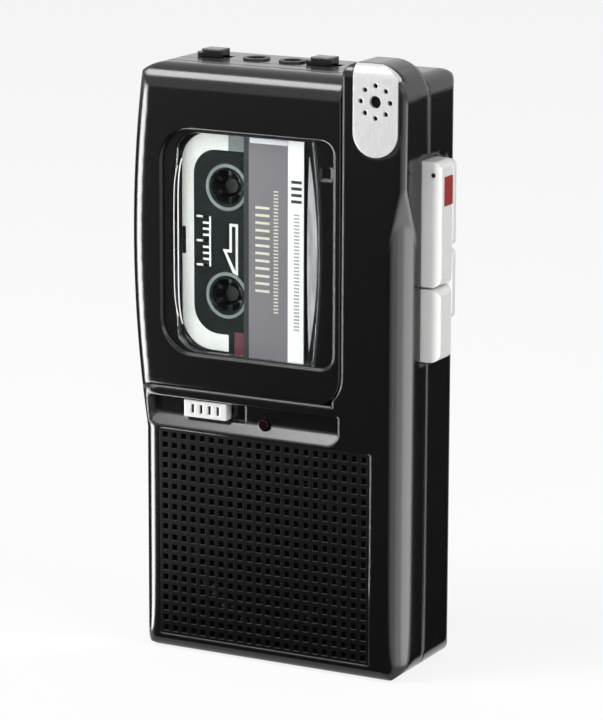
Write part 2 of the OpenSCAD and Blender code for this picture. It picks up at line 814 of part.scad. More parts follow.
module front_cabinet() {
    color(black) difference() {
        union() {
            difference() {
                front_walls();
                door_space();
            }
            hinge_ear();
        }
        strip_recess();
        mode_pocket();
        rod_y(lamp_x, lamp_z, front_y - 1, strip_back_y + 1, lamp_r + fit);
        // Seat of the perforated panel and the round sound opening behind it
        box([grille_x - grille_half_w - fit, front_y - 1, grille_z - grille_half_h - fit],
            [grille_x + grille_half_w + fit, front_y + grille_t, grille_z + grille_half_h + fit]);
        rod_y(grille_x, grille_z, front_y, inner_front_y + eps, sound_r);
        // Seat of the microphone plate and the sound hole
        difference() {
            along_y(front_y - 1, front_y + tower_edge_r) mic_tongue(fit);
            tower(mic_plate_seat);
        }
        rod_y(mic_x, mic_z, front_y - 1, inner_front_y + 1, mic_ring_r + mic_ring_hole_r);
        rod_y(mic_x, mic_z, inner_front_y, parting_y - wall, boot_r + fit);
        key_opening();
        rod_x(hinge_y, hinge_z, ear_x0 - 1, pin_x1, hinge_pin_r);
        for (at = case_screw_at)
            rod_y(at[0], at[1], parting_y - screw_hole_l, parting_y + 1, screw_r + fit);
        for (at = chassis_screw_at)
            rod_y(at[0], at[1], chassis_y0 - screw_hole_l, chassis_y0 + 1, screw_r + fit);
    }
}

module rear_cabinet() {
    color(black) difference() {
        union() {
            difference() {
                rear_half() envelope();
                hollow();
            }
            // Shelf above the battery bay
            box([left_x + wall - eps, parting_y + 1, bay_shelf_z],
                [right_x - wall + eps, inner_back_y + eps, bay_shelf_z + 1.2]);
            for (at = case_screw_at)
                rod_y(at[0], at[1], parting_y, inner_back_y + wall / 2, rear_boss_r);
            // Posts under the circuit board
            for (x = [board_x0 + 4, board_x1 - 4], z = [board_z0 + 4, board_z1 - 8])
                rod_y(x, z, board_y1, inner_back_y + eps, 1.8);
        }
        // Battery opening at the back, with the channels for the cover's rails
        box([-cover_w / 2 - cover_gap, inner_back_y - cover_gap, -1],
            [cover_w / 2 + cover_gap, back_y + 1, cover_h + cover_gap]);
        for (side = [0, 1]) mirror([side, 0, 0])
            box([rail_x0 - cover_gap, inner_back_y - rail_t - 2 * cover_gap, -1],
                [rail_x1 + cover_gap, inner_back_y, wall + 1]);
        for (x = [ear_jack_x, mic_jack_x])
            rod_z(x, top_y, body_h - 2 * wall, body_h + 1, jack_collar_r + fit);
        for (x = [speed_x0, pause_x0])
            box([slide_stem_x(x) - air, top_y - slide_stem_w / 2 - air, body_h - 2 * wall],
                [slide_stem_x(x) + slide_stem + slide_travel + air, top_y + slide_stem_w / 2 + air, body_h + 1]);
        // Slot for the thumb dial
        rod_y(dial_x, dial_z, dial_y0 - air, dial_y1 + air, dial_r + air);
        key_opening();
        for (at = case_screw_at) {
            rod_y(at[0], at[1], parting_y - 1, back_y + 1, screw_r + 0.15);
            rod_y(at[0], at[1], back_y - 2.4, back_y + 1, screw_head_r + 0.2);
        }
    }
}

// Panel with square holes; those outside the sound opening end on the cabinet wall
module speaker_grille() {
    half_x = (grille_cols - 1) / 2;
    half_z = (grille_rows - 1) / 2;
    color(black) difference() {
        box([grille_x - grille_half_w, front_y, grille_z - grille_half_h],
            [grille_x + grille_half_w, front_y + grille_t, grille_z + grille_half_h]);
        for (col = [0 : grille_cols - 1], row = [0 : grille_rows - 1])
            translate([grille_x + (col - half_x) * grille_pitch - grille_hole / 2, front_y - 1,
                       grille_z + (row - half_z) * grille_pitch - grille_hole / 2])
                cube([grille_hole, grille_t + 2, grille_hole]);
    }
}

module cassette_door() {
    color(black) difference() {
        intersection() {
            envelope();
            along_x(-reach, door_x1) door_side(0);
            along_y(front_y - 1, back_y) door_face(0);
        }
        // Hollow behind the panel, inside the lips
        difference() {
            intersection() {
                hollow();
                box([-reach, inner_front_y, hinge_z - eps], [reach, back_y, body_h]);
            }
            rod_x(hinge_y, hinge_z, -reach, reach, bead_r);
        }
        along_y(front_y - 1, front_y + window_d)
            rounded_box(window_x0, window_z0, window_x1, window_z1, [7, 3, 3, 7]);
        along_y(front_y - 1, inner_front_y + 1) lens_outline(fit);
        // Small square pip hole beside the window
        box([window_x1 - 3.2, front_y, window_z1 - 7.8], [window_x1 - 0.8, front_y + window_d + 0.5, window_z1 - 5.4]);
        rod_x(hinge_y, hinge_z, ear_x0 - 1, door_x1 + 1, hinge_pin_r + hinge_fit);
        // Room for the ear in the bead
        rod_x(hinge_y, hinge_z, ear_x0 - air, ear_x0 + ear_w + air, ear_r + ear_air);
        box([ear_x0 - air, hinge_y, hinge_z - 2 * bead_r], [ear_x0 + ear_w + air, back_y, hinge_z + 2 * bead_r]);
        corner_relief();
    }
}

module door_window() {
    color("#9fb0b5", 0.35) along_y(front_y + window_d / 2, inner_front_y) lens_outline(0);
}

module window_panel() {
    color("#8a8690")
        box([panel_x0, inner_front_y, lens_z0 - panel_lap],
            [panel_x1, inner_front_y + panel_t, lens_z1 + panel_lap]);
}

module door_hinge_pin() {
    color(steel) rod_x(hinge_y, hinge_z, ear_x0 - wall / 2, pin_x1, hinge_pin_r);
}

module mic_plate() {
    color(silver) difference() {
        intersection() {
            tower(-mic_plate_rise);
            along_y(front_y - 1, front_y + tower_edge_r - 1) mic_tongue(0);
        }
        tower(mic_plate_seat);
        rod_y(mic_x, mic_z, front_y - 1, front_y + 2, mic_hole_r);
        for (i = [0 : mic_ring_n - 1])
            rod_y(mic_x + mic_ring_r * sin(i * 360 / mic_ring_n), mic_z + mic_ring_r * cos(i * 360 / mic_ring_n),
                  front_y - 1, front_y + 2, mic_ring_hole_r);
    }
}

module mic_capsule() {
    color(steel) rod_y(mic_x, mic_z, inner_front_y + 0.2, inner_front_y + 0.2 + capsule_l, capsule_r);
}

module mic_boot() {
    color("#2a2a2a") difference() {
        rod_y(mic_x, mic_z, inner_front_y, inner_front_y + boot_l, boot_r);
        rod_y(mic_x, mic_z, inner_front_y - 1, inner_front_y + boot_l + 1, capsule_r);
    }
}

module speaker_frame() {
    color(steel) turned_y(grille_x, grille_z)
        polygon([
            [sound_r - 1, speaker_y], [speaker_r, speaker_y], [speaker_r, speaker_y + 0.8],
            [sound_r - 0.4, speaker_y + 0.8], [magnet_r, basket_y], [magnet_r - 3, basket_y],
            [magnet_r - 3, basket_y - 0.6], [magnet_r - 0.6, basket_y - 0.6], [sound_r - 1, speaker_y + 0.5]
        ]);
}

module speaker_cone() {
    color("#3a3733") turned_y(grille_x, grille_z)
        polygon([
            [0, speaker_y + 0.9], [2.6, speaker_y + 1.2], [3.4, basket_y - 1], [sound_r - 2.4, speaker_y + 0.2],
            [cone_r, speaker_y + 0.2], [cone_r, speaker_y + 0.4], [sound_r - 2.4, speaker_y + 0.45],
            [3.4, basket_y - 0.7], [2.6, speaker_y + 1.5], [0, speaker_y + 1.2]
        ]);
}

module speaker_magnet() {
    color(steel) rod_y(grille_x, grille_z, basket_y, magnet_y, magnet_r);
}

module mode_knob() {
    ribs = 4;
    knob_y0 = front_y + 0.3;
    color(silver) difference() {
        union() {
            box([mode_x0, knob_y0, mode_z - mode_h / 2], [mode_x0 + mode_w, pocket_y - slide_air, mode_z + mode_h / 2]);
            box([mode_stem_x(), pocket_y - air, mode_z - stem_h / 2],
                [mode_stem_x() + stem_w, strip_back_y + 0.5, mode_z + stem_h / 2]);
        }
        for (i = [1 : ribs])
            box([mode_x0 + i * mode_w / (ribs + 1) - 0.35, knob_y0 - 1, mode_z - mode_h / 2 + 0.8],
                [mode_x0 + i * mode_w / (ribs + 1) + 0.35, knob_y0 + 0.5, mode_z + mode_h / 2 - 0.8]);
    }
}

module mode_switch() {
    color("#404246") difference() {
        box([mode_x0 + 0.7, strip_back_y, mode_z - 2.6], [mode_x0 + 12.2, strip_back_y + 2.8, mode_z + 1.3]);
        box([mode_stem_x() - air, strip_back_y - 1, mode_z - stem_h / 2 - air],
            [mode_stem_x() + stem_w + mode_travel + air, strip_back_y + 0.8, mode_z + stem_h / 2 + air]);
    }
}

module record_lamp() {
    color("#5c1f1f") {
        rod_y(lamp_x, lamp_z, front_y + 0.5, strip_back_y + 2, lamp_r);
        rod_y(lamp_x, lamp_z, strip_back_y, strip_back_y + 0.8, lamp_r + 0.5);
    }
}

// One side key: rounded outer edges, and a lip inside the wall that keeps it in
module side_key(y0, y1, z0, z1, out, lip_y) {
    x1 = right_x + out;
    intersection() {
        along_z(z0, z1) rounded_box(key_in_x, y0, x1, y1, [sharp, key_edge_r, sharp + rear_key_w / 8, sharp]);
        along_y(y0, y1) rounded_box(key_in_x, z0, x1, z1, [sharp, key_edge_r, key_edge_r, sharp]);
    }
    lip_w = 0.8;
    lip_low = lip_y < y0 ? y0 - lip_w : y1 - eps;
    box([key_in_x, lip_low, z0 + 2], [right_x - wall - 0.3, lip_low + lip_w + eps, z1 - 2]);
}

module record_key() {
    color(silver) difference() {
        side_key(key_y0, key_y1, key_top_z - record_key_h, key_top_z, key_out, key_y0 - 1);
        mark_block(fit, mark_t);
    }
}

module mark_block(gap, depth) {
    y1 = key_y1 - 0.4;
    box([right_x + key_out - depth, y1 - mark_w - gap, mark_z1 - mark_h - gap],
        [right_x + key_out + 0.05, y1 + gap, mark_z1 + gap]);
}

module record_mark() {
    color("#9c2b2b") mark_block(0, mark_t);
}

module stop_key() {
    color(silver) side_key(key_y0, key_y1, key_bottom_z, stop_top_z, key_out, key_y0 - 1);
}

module rewind_key() {
    color(silver)
        side_key(rear_key_y0, rear_key_y1, rewind_top_z - rewind_key_h, rewind_top_z, rear_key_out, rear_key_y1);
}

module forward_key() {
    color(silver)
        side_key(rear_key_y0, rear_key_y1, forward_top_z - forward_key_h, forward_top_z, rear_key_out, rear_key_y1);
}

function slide_stem_x(x) = x + (slide_l - slide_stem) / 2;

// Top slide knob with a stepped crown and a stem through the roof
module slide_knob(x) {
    z0 = body_h + slide_air;
    box([x, top_y - slide_w / 2, z0], [x + slide_l, top_y + slide_w / 2, z0 + slide_h * 0.6]);
    box([x + 1, top_y - slide_w / 2, z0], [x + slide_l, top_y + slide_w / 2, z0 + slide_h]);
    box([slide_stem_x(x), top_y - slide_stem_w / 2, switch_z1 + slide_air],
        [slide_stem_x(x) + slide_stem, top_y + slide_stem_w / 2, z0 + eps]);
}

module speed_knob() {
    color(black) slide_knob(speed_x0);
}

module pause_knob() {
    color(black) slide_knob(pause_x0);
}

module top_switches() {
    color("#404246") for (x = [speed_x0, pause_x0])
        box([x + switch_inset, chassis_y1 + air, switch_z0],
            [x + switch_inset + switch_l, board_y0, switch_z1]);
}

module jack(x) {
    z1 = body_h - wall;
    bore_z0 = body_h + jack_rise - jack_depth;
    difference() {
        union() {
            box([x - jack_w / 2, chassis_y1 + air, bore_z0 - jack_floor], [x + jack_w / 2, board_y0, z1]);
            rod_z(x, top_y, z1 - 1, body_h + jack_rise, jack_collar_r);
        }
        rod_z(x, top_y, bore_z0, body_h + 2, jack_r);
    }
}

module ear_jack() {
    color("#26272a") jack(ear_jack_x);
}

module mic_jack() {
    color("#26272a") jack(mic_jack_x);
}

module volume_dial() {
    color(black) difference() {
        rod_y(dial_x, dial_z, dial_y0, dial_y1, dial_r);
        rod_y(dial_x, dial_z, dial_y0 - 1, dial_y1 + 1, dial_bore_r + fit);
        for (i = [0 : dial_notches - 1])
            rod_y(dial_x + dial_r * cos(i * 360 / dial_notches), dial_z + dial_r * sin(i * 360 / dial_notches),
                  dial_y0 - 1, dial_y1 + 1, 0.35);
    }
}

module volume_control() {
    color("#404246") {
        rod_y(dial_x, dial_z, dial_y1 + 0.2, board_y0, 5);
        rod_y(dial_x, dial_z, dial_y0, dial_y1 + 0.3, dial_bore_r);
    }
}

module battery_cover() {
    grip_n = 5;
    color(black) difference() {
        union() {
            intersection() {
                envelope();
                box([-cover_w / 2, inner_back_y, -1], [cover_w / 2, back_y + 1, cover_h]);
            }
            for (side = [0, 1]) mirror([side, 0, 0]) {
                box([rail_x0, inner_back_y - rail_t - cover_gap, rail_end],
                    [rail_x1, inner_back_y - cover_gap, cover_h - rail_end]);
                box([rail_x0, inner_back_y - rail_t, rail_end],
                    [cover_w / 2, inner_back_y + eps, cover_h - rail_end]);
            }
        }
        for (i = [0 : grip_n - 1])
            box([-6, back_y - 0.4, cover_h - 8 + i * 1.4], [6, back_y + 1, cover_h - 7.4 + i * 1.4]);
    }
}

module battery_cell(z, pole_side) {
    pole_l = 1.3;
    sleeve = cell_l - pole_l;
    low = pole_side > 0 ? -cell_l / 2 : -cell_l / 2 + pole_l;
    rod_x(cell_y, z, low, low + sleeve, cell_r);
    rod_x(cell_y, z, -cell_l / 2, cell_l / 2, 2.7);
}

module battery_cells() {
    color("#b4782f") {
        battery_cell(cell_z0, 1);
        battery_cell(cell_z1, -1);
    }
}

module battery_contacts() {
    plate_t = 0.4;
    contact_r = 2.2;
    color(steel) for (side = [-1, 1]) {
        x = side * (right_x - wall - plate_t / 2);
        box([x - plate_t / 2, cell_y - 5, cell_z0 - 5], [x + plate_t / 2, cell_y + 5, cell_z1 + 5]);
        for (z = [cell_z0, cell_z1])
            rod_x(cell_y, z, min(x, side * cell_l / 2), max(x, side * cell_l / 2), contact_r);
    }
}

module circuit_board() {
    color("#2f6b3c") difference() {
        box([board_x0, board_y0, board_z0], [board_x1, board_y1, board_z1]);
        for (at = case_screw_at)
            rod_y(at[0], at[1], board_y0 - 1, board_y1 + 1, rear_boss_r + 0.4);
    }
}

module board_chips() {
    color("#202224") for (at = chips)
        translate([board_x0 + at[0], board_y0 - chip_h, board_z0 + at[1]]) cube([at[2], chip_h, at[3]]);
}

module chassis_plate() {
    color(steel) difference() {
        union() {
            box([chassis_x0, chassis_y0, chassis_z0], [chassis_x1, chassis_y1, chassis_z1]);
            box([motor_plate_x0, chassis_y0, motor_plate_z0], [motor_plate_x1, chassis_y1, chassis_z0 + eps]);
            // Pads that the cassette lies on, and rails that the sled runs on
            for (x = [cassette_x0 + pad_inset, cassette_x1 - pad_inset])
                for (z = [cassette_z0 + pad_inset, cassette_z1 - pad_inset])
                    rod_y(x, z, cassette_y1, chassis_y0 + eps, pad_r);
            for (z = [sled_z0 + pad_r, sled_z1 - pad_r])
                box([sled_x0 - key_travel, sled_y1 + slide_air, z - pad_r],
                    [chassis_x1, chassis_y0 + eps, z + pad_r]);
        }
        for (z = [take_up_z, supply_z])
            rod_y(hub_x, z, chassis_y0 - 1, chassis_y1 + 1, spindle_r + fit);
        rod_y(capstan_x, capstan_z, chassis_y0 - 1, chassis_y1 + 1, 2);
        rod_y(idler_x, capstan_z, chassis_y0 - 1, chassis_y1 + 1, idler_pin_r);
        rod_y(motor_x, motor_z, chassis_y0 - 1, chassis_y1 + 1, 2.5);
        for (at = chassis_screw_at)
            rod_y(at[0], at[1], chassis_y0 - 1, chassis_y1 + 1, screw_r + 0.1);
    }
}

module chassis_screws() {
    color(steel) for (at = chassis_screw_at) {
        rod_y(at[0], at[1], chassis_y0 - 2.8, chassis_y1 + eps, screw_r);
        rod_y(at[0], at[1], chassis_y1, chassis_y1 + 0.9, screw_head_r - 0.1);
    }
}

module case_screws() {
    color("#3c3d40") for (at = case_screw_at) difference() {
        union() {
            rod_y(at[0], at[1], parting_y - 2.8, back_y - 2.3, screw_r);
            rod_y(at[0], at[1], back_y - 2.4, back_y - 1, screw_head_r);
        }
        for (turn = [0, 90])
            translate([at[0], back_y - 1, at[1]]) rotate([0, turn, 0])
                cube([2 * screw_head_r * 0.7, 1.2, 0.5], center = true);
    }
}

module drive_motor() {
    color(steel) difference() {
        rod_y(motor_x, motor_z, motor_y0, chassis_y0, motor_r);
        rod_y(motor_x, motor_z, motor_y0 + 2, chassis_y0 + 1, motor_shaft_r + fit);
    }
}

module motor_pulley() {
    color("#c9a24a") {
        rod_y(motor_x, motor_z, motor_y0 + 2.5, fly_y1, motor_shaft_r);
        turned_y(motor_x, motor_z) groove_profile(pulley_r);
    }
}

// Rim with a square groove for the belt, in (radius, depth)
module groove_profile(r) {
    flange = belt_t * 0.6;
    half = belt_t / 2 + 0.1;
    polygon([
        [0, fly_y0], [r + flange, fly_y0], [r + flange, belt_y - half], [r, belt_y - half],
        [r, belt_y + half], [r + flange, belt_y + half], [r + flange, fly_y1], [0, fly_y1]
    ]);
}

// Loop round two wheels: an arc round each, joined by their common tangents
module belt_loop(grow) {
    big = flywheel_r - belt_t * 0.6 + belt_gap + grow;
    small = pulley_r + belt_gap + grow;
    run = [motor_x - capstan_x, motor_z - capstan_z];
    span = norm(run);
    lean = acos((big - small) / span);
    steps = 24;
    translate([capstan_x, capstan_z]) rotate(atan2(run[1], run[0]))
        polygon([
            for (i = [0 : steps]) let (a = lean + i * (360 - 2 * lean) / steps) big * [cos(a), sin(a)],
            for (i = [0 : steps]) let (a = -lean + i * 2 * lean / steps) [span, 0] + small * [cos(a), sin(a)]
        ]);
}

module drive_belt() {
    color("#202020") difference() {
        along_y(belt_y - belt_t / 2, belt_y + belt_t / 2) belt_loop(belt_t);
        along_y(belt_y - belt_t, belt_y + belt_t) belt_loop(0);
    }
}

module flywheel() {
    color("#b9a06a") {
        turned_y(capstan_x, capstan_z) groove_profile(flywheel_r - belt_t * 0.6);
        rod_y(capstan_x, capstan_z, fly_y1 - eps, idle_y1, friction_hub_r);
        rod_y(capstan_x, capstan_z, cassette_y0 + 1.5, fly_y0 + eps, capstan_r);
    }
}

module capstan_bearing() {
    color("#b08d57") difference() {
        rod_y(capstan_x, capstan_z, chassis_y0, chassis_y1 + 0.4, 2);
        rod_y(capstan_x, capstan_z, chassis_y0 - 1, chassis_y1 + 1, capstan_r + 0.03);
    }
}

module idler_pin() {
    color(steel) rod_y(idler_x, capstan_z, chassis_y0, idle_y1 + 0.3, idler_pin_r);
}

module idler_wheel() {
    color("#2b2b2b") difference() {
        rod_y(idler_x, capstan_z, idle_y0, idle_y1, idler_r);
        rod_y(idler_x, capstan_z, idle_y0 - 1, idle_y1 + 1, idler_pin_r + fit);
    }
}

// Spindle: finned head in the cassette, shaft through the chassis, turntable behind it
module spindle(z) {
    fin_n = 3;
    rod_y(hub_x, z, cassette_y0 + 2, chassis_y0 - 0.2, spindle_head_r - 0.5);
    rod_y(hub_x, z, chassis_y0 - 0.3, idle_y1, spindle_r);
    rod_y(hub_x, z, idle_y0, idle_y1, turntable_r);
    for (i = [0 : fin_n - 1])
        translate([hub_x, 0, z]) rotate([0, i * 360 / fin_n, 0])
            box([0, cassette_y0 + 2.4, -0.35], [spindle_head_r, chassis_y0 - 0.2, 0.35]);
}

module supply_spindle() {
    color("#d9d6cf") spindle(supply_z);
}

module take_up_spindle() {
    color("#d9d6cf") spindle(take_up_z);
}

module head_sled() {
    color(steel) difference() {
        union() {
            box([sled_x0, sled_y0, sled_z0], [sled_x1, sled_y1, sled_z1]);
            box([roller_x - 1.4, sled_y0, capstan_z - 1.4], [sled_x0 + eps, sled_y1, capstan_z + 1.4]);
            // Arm that the upper key pushes on
            box([sled_x1 - eps, sled_y0, head_z], [key_in_x - 0.15, sled_y1, head_z + 9]);
        }
        rod_y(roller_x, capstan_z, sled_y0 - 1, sled_y1 + 1, roller_pin_r);
    }
}

// Head with a rounded nose towards the tape
module tape_head(z, w, y0) {
    intersection() {
        box([head_x0, y0, z - w / 2], [head_x1, sled_y0, z + w / 2]);
        rod_y(head_x0 + w * 0.75, z, y0 - 1, sled_y0 + 1, w * 0.75);
    }
    box([head_x0 + w * 0.4, y0, z - w / 2], [head_x1, sled_y0, z + w / 2]);
}

module record_head() {
    color(silver) tape_head(head_z, 6, cassette_y0 + 1.8);
}

module erase_head() {
    color("#3a3a3d") tape_head(erase_z, 4, cassette_y0 + 2.4);
}

module roller_pin() {
    color(steel) rod_y(roller_x, capstan_z, roller_y0 - 0.3, sled_y1, roller_pin_r);
}

module pinch_roller() {
    color("#232323") difference() {
        rod_y(roller_x, capstan_z, roller_y0, roller_y1, roller_r);
        rod_y(roller_x, capstan_z, roller_y0 - 1, roller_y1 + 1, roller_pin_r + fit);
    }
}

// Cassette shell: hollow box with hub holes and openings on the tape side
module cassette_shell() {
    w = cassette_wall;
    inner_x1 = cassette_x1 - 2.6;
    color("#2b3033") difference() {
        union() {
            along_y(cassette_y0, cassette_y1)
                rounded_box(cassette_x0, cassette_z0, cassette_x1, cassette_z1, [2.5, 1, 1, 2.5]);
            for (z = [take_up_z, supply_z])
                rod_y(hub_x, z, cassette_y0 - 0.15, cassette_y0 + eps, shell_hole_r + 1.3);
        }
        along_y(cassette_y0 + w, cassette_y1 - w)
            rounded_box(cassette_x0 + w, cassette_z0 + w, inner_x1 - w, cassette_z1 - w, [1.5, sharp, sharp, 1.5]);
        for (z = [take_up_z, supply_z])
            rod_y(hub_x, z, cassette_y0 - 1, cassette_y1 + 1, shell_hole_r);
        rod_y(capstan_x, capstan_z, cassette_y0 + w, cassette_y1 + 1, 1.8);
        // Head opening and pinch roller opening
        box([inner_x1 + 0.6, cassette_y0 + w, head_z - 4.2], [cassette_x1 + 1, cassette_y1 - w, erase_z + 3]);
        box([capstan_x + capstan_r, cassette_y0 + w, capstan_z - roller_r - 0.8],
            [cassette_x1 + 1, cassette_y1 + 1, capstan_z + roller_r + 0.8]);
        // Notch in the middle of the plain edge
        box([cassette_x0 - 1, cassette_y0 - 1, cassette_z - 2.8], [cassette_x0 + 0.8, cassette_y0 + 1.5, cassette_z + 2.8]);
    }
}

module reel_hub(z) {
    tooth_n = 6;
    y0 = cassette_y0 + cassette_wall + air;
    y1 = cassette_y1 - cassette_wall - air;
    difference() {
        rod_y(hub_x, z, y0, y1, hub_r);
        difference() {
            rod_y(hub_x, z, y0 - 1, y1 + 1, hub_r - 1.6);
            for (i = [0 : tooth_n - 1])
                translate([hub_x, 0, z]) rotate([0, (i + 0.5) * 360 / tooth_n, 0])
                    box([hub_bore_r, y0, -0.4], [hub_r, y1, 0.4]);
        }
    }
}

module supply_hub() {
    color("#e6e4de") reel_hub(supply_z);
}

module take_up_hub() {
    color("#e6e4de") reel_hub(take_up_z);
}

module tape_pack(z, r) {
    y0 = cassette_y0 + 2.2;
    difference() {
        rod_y(hub_x, z, y0, y0 + 3.8, r);
        rod_y(hub_x, z, y0 - 1, y0 + 5, hub_r);
    }
}

module supply_tape() {
    color("#3b2a22") tape_pack(supply_z, full_pack_r);
}

module take_up_tape() {
    color("#3b2a22") tape_pack(take_up_z, part_pack_r);
}

front_cabinet();
rear_cabinet();
speaker_grille();
cassette_door();
door_window();
window_panel();
door_hinge_pin();
mic_plate();
mic_capsule();
mic_boot();
speaker_frame();
speaker_cone();
speaker_magnet();
mode_knob();
mode_switch();
record_lamp();
record_key();
record_mark();
stop_key();
rewind_key();
forward_key();
speed_knob();
pause_knob();
top_switches();
ear_jack();
mic_jack();
volume_dial();
volume_control();
battery_cover();
battery_cells();
battery_contacts();
circuit_board();
board_chips();
chassis_plate();
chassis_screws();
case_screws();
drive_motor();
motor_pulley();
drive_belt();
flywheel();
capstan_bearing();
idler_pin();
idler_wheel();
supply_spindle();
take_up_spindle();
head_sled();
record_head();
erase_head();
roller_pin();
pinch_roller();
cassette_shell();
supply_hub();
take_up_hub();
supply_tape();
take_up_tape();
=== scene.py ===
import json
import math

import bmesh
import bpy
from mathutils import Matrix, Vector


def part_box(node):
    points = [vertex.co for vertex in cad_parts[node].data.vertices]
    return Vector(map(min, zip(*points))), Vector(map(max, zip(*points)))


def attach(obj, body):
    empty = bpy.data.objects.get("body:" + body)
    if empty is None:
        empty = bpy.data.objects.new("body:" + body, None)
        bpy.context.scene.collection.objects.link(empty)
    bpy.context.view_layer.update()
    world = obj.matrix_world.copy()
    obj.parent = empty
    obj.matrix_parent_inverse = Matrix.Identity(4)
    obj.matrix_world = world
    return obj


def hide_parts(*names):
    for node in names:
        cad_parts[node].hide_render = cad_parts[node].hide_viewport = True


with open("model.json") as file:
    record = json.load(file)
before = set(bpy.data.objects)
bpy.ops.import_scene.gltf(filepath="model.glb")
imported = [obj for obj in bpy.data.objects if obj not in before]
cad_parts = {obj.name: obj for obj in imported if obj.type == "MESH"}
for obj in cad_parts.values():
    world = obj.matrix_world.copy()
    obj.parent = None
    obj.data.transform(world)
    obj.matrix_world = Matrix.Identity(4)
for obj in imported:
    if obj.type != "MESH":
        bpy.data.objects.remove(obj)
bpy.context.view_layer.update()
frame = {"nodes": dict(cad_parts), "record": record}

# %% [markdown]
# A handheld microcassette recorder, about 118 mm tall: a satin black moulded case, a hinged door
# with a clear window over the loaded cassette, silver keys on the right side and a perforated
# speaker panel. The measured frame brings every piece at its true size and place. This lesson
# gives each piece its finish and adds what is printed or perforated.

MM = 0.001
nodes = frame["nodes"]
slot_of = {part["node"]: part["material_slot"] for part in frame["record"]["subparts"]}
bpy.context.scene.view_settings.view_transform = "Standard"
print("frame nodes:", len(nodes))

# %% [markdown]
# Three helpers serve the whole lesson. Colours are picked as the hex codes that a screen shows, and
# the shaders take linear light, so one function turns the first into the second. The next adds a
# node to a tree, with its settings and links in one line, so that a tree reads from top to bottom.
# The last tells the rays that see the backdrop, straight, mirrored or through clear plastic, from
# those that only light the object.

# %% Helpers


def srgb(code):
    """Linear colour of a hex code."""
    parts = [int(code[i:i + 2], 16) / 255 for i in (0, 2, 4)]
    return [c / 12.92 if c <= 0.04045 else ((c + 0.055) / 1.055) ** 2.4 for c in parts] + [1.0]


def put(tree, kind, inputs=None, **settings):
    """Adds a node. settings are its attributes; inputs are its sockets, each a value or a socket to link."""
    node = tree.nodes.new(kind)
    for name, value in settings.items():
        setattr(node, name, value)
    for key, value in (inputs or {}).items():
        if isinstance(value, bpy.types.NodeSocket):
            tree.links.new(value, node.inputs[key])
        else:
            node.inputs[key].default_value = value
    return node


def sees_backdrop(tree):
    """Socket that is 1 for camera, mirror and glass rays and 0 for the rest."""
    ray = put(tree, "ShaderNodeLightPath").outputs
    either = put(tree, "ShaderNodeMath", {0: ray["Is Camera Ray"], 1: ray["Is Glossy Ray"]},
                 operation="MAXIMUM")
    return put(tree, "ShaderNodeMath", {0: either.outputs[0], 1: ray["Is Transmission Ray"]},
               operation="MAXIMUM").outputs[0]


print("white is", srgb("ffffff"))

# %% [markdown]
# The photograph was taken with a long lens from the front right and a little above. The camera
# stands there: its place and its lens come from fitting the corners of the case, so the outline
# falls on the same pixels.

# %% Camera
AZIMUTH = math.radians(27.71)
ELEVATION = math.radians(12.97)
ROLL = math.radians(0.15)
DISTANCE = 0.6979
target = Vector((0.00708, -0.0115, 0.06254))
back = Vector((math.sin(AZIMUTH) * math.cos(ELEVATION), -math.cos(AZIMUTH) * math.cos(ELEVATION),
               math.sin(ELEVATION)))
right = Vector((math.cos(AZIMUTH), math.sin(AZIMUTH), 0))
up = back.cross(right)
turn = Matrix((right, up, back)).transposed().to_4x4() @ Matrix.Rotation(ROLL, 4, "Z")
camera_data = bpy.data.cameras.new("camera")
camera_data.lens = 180.6
camera_data.sensor_width = 36
camera_data.clip_start = 0.01
camera = bpy.data.objects.new("camera", camera_data)
camera.matrix_world = Matrix.Translation(target + back * DISTANCE) @ turn
bpy.context.scene.collection.objects.link(camera)
bpy.context.scene.camera = camera
print("camera at", [round(v, 3) for v in camera.location])

# %% [markdown]
# A large soft box above gives the top edge, the sloping ledge and the silver plate their light. One at
# the right fills the silver keys and one in front lifts the prints behind the window. They are area
# lamps, because a wide lamp casts the soft shadow of a studio.

# %% Lights


def softbox(name, place, aim, width, height, watts):
    """Rectangular lamp at a place, facing a point."""
    data = bpy.data.lights.new(name, "AREA")
    data.shape = "RECTANGLE"
    data.size = width
    data.size_y = height
    data.energy = watts
    lamp = bpy.data.objects.new(name, data)
    direction = Vector(aim) - Vector(place)
    lamp.matrix_world = Matrix.Translation(place) @ direction.to_track_quat("-Z", "Y").to_matrix().to_4x4()
    bpy.context.scene.collection.objects.link(lamp)


middle = (0, 0, 0.06)
softbox("top_box", (-0.38, -0.36, 0.72), middle, 0.4, 0.28, 4.6)
softbox("right_box", (0.75, -0.25, 0.45), middle, 0.4, 0.4, 3.0)
softbox("front_box", (0.3, -0.95, 0.7), middle, 0.5, 0.4, 1.8)
print("lamps:", len(bpy.data.lights))

# %% [markdown]
# The backdrop is plain white. The world is white to the rays that see it and dimmer to those that
# light the object, so the case keeps its contrast in front of a white page.

# %% Backdrop
world = bpy.data.worlds.new("studio")
bpy.context.scene.world = world
world.use_nodes = True
tree = world.node_tree
tree.nodes.clear()
FILL_LIGHT, WHITE = 0.3, 1.0
strength = put(tree, "ShaderNodeMapRange", {"Value": sees_backdrop(tree), "To Min": FILL_LIGHT,
                                            "To Max": WHITE})
sky = put(tree, "ShaderNodeBackground", {"Color": (1, 1, 1, 1), "Strength": strength.outputs[0]})
put(tree, "ShaderNodeOutputWorld", {"Surface": sky.outputs[0]})
print("backdrop:", WHITE, "to the eye,", FILL_LIGHT, "as light")

# %% [markdown]
# The floor is a sheet of white paper. To the camera and in reflections it is mostly white of its own,
# as a lit backdrop is, and the rest of it keeps the shadow. One flat sheet is enough, since the camera
# looks down on it and sees no horizon.

# %% Floor


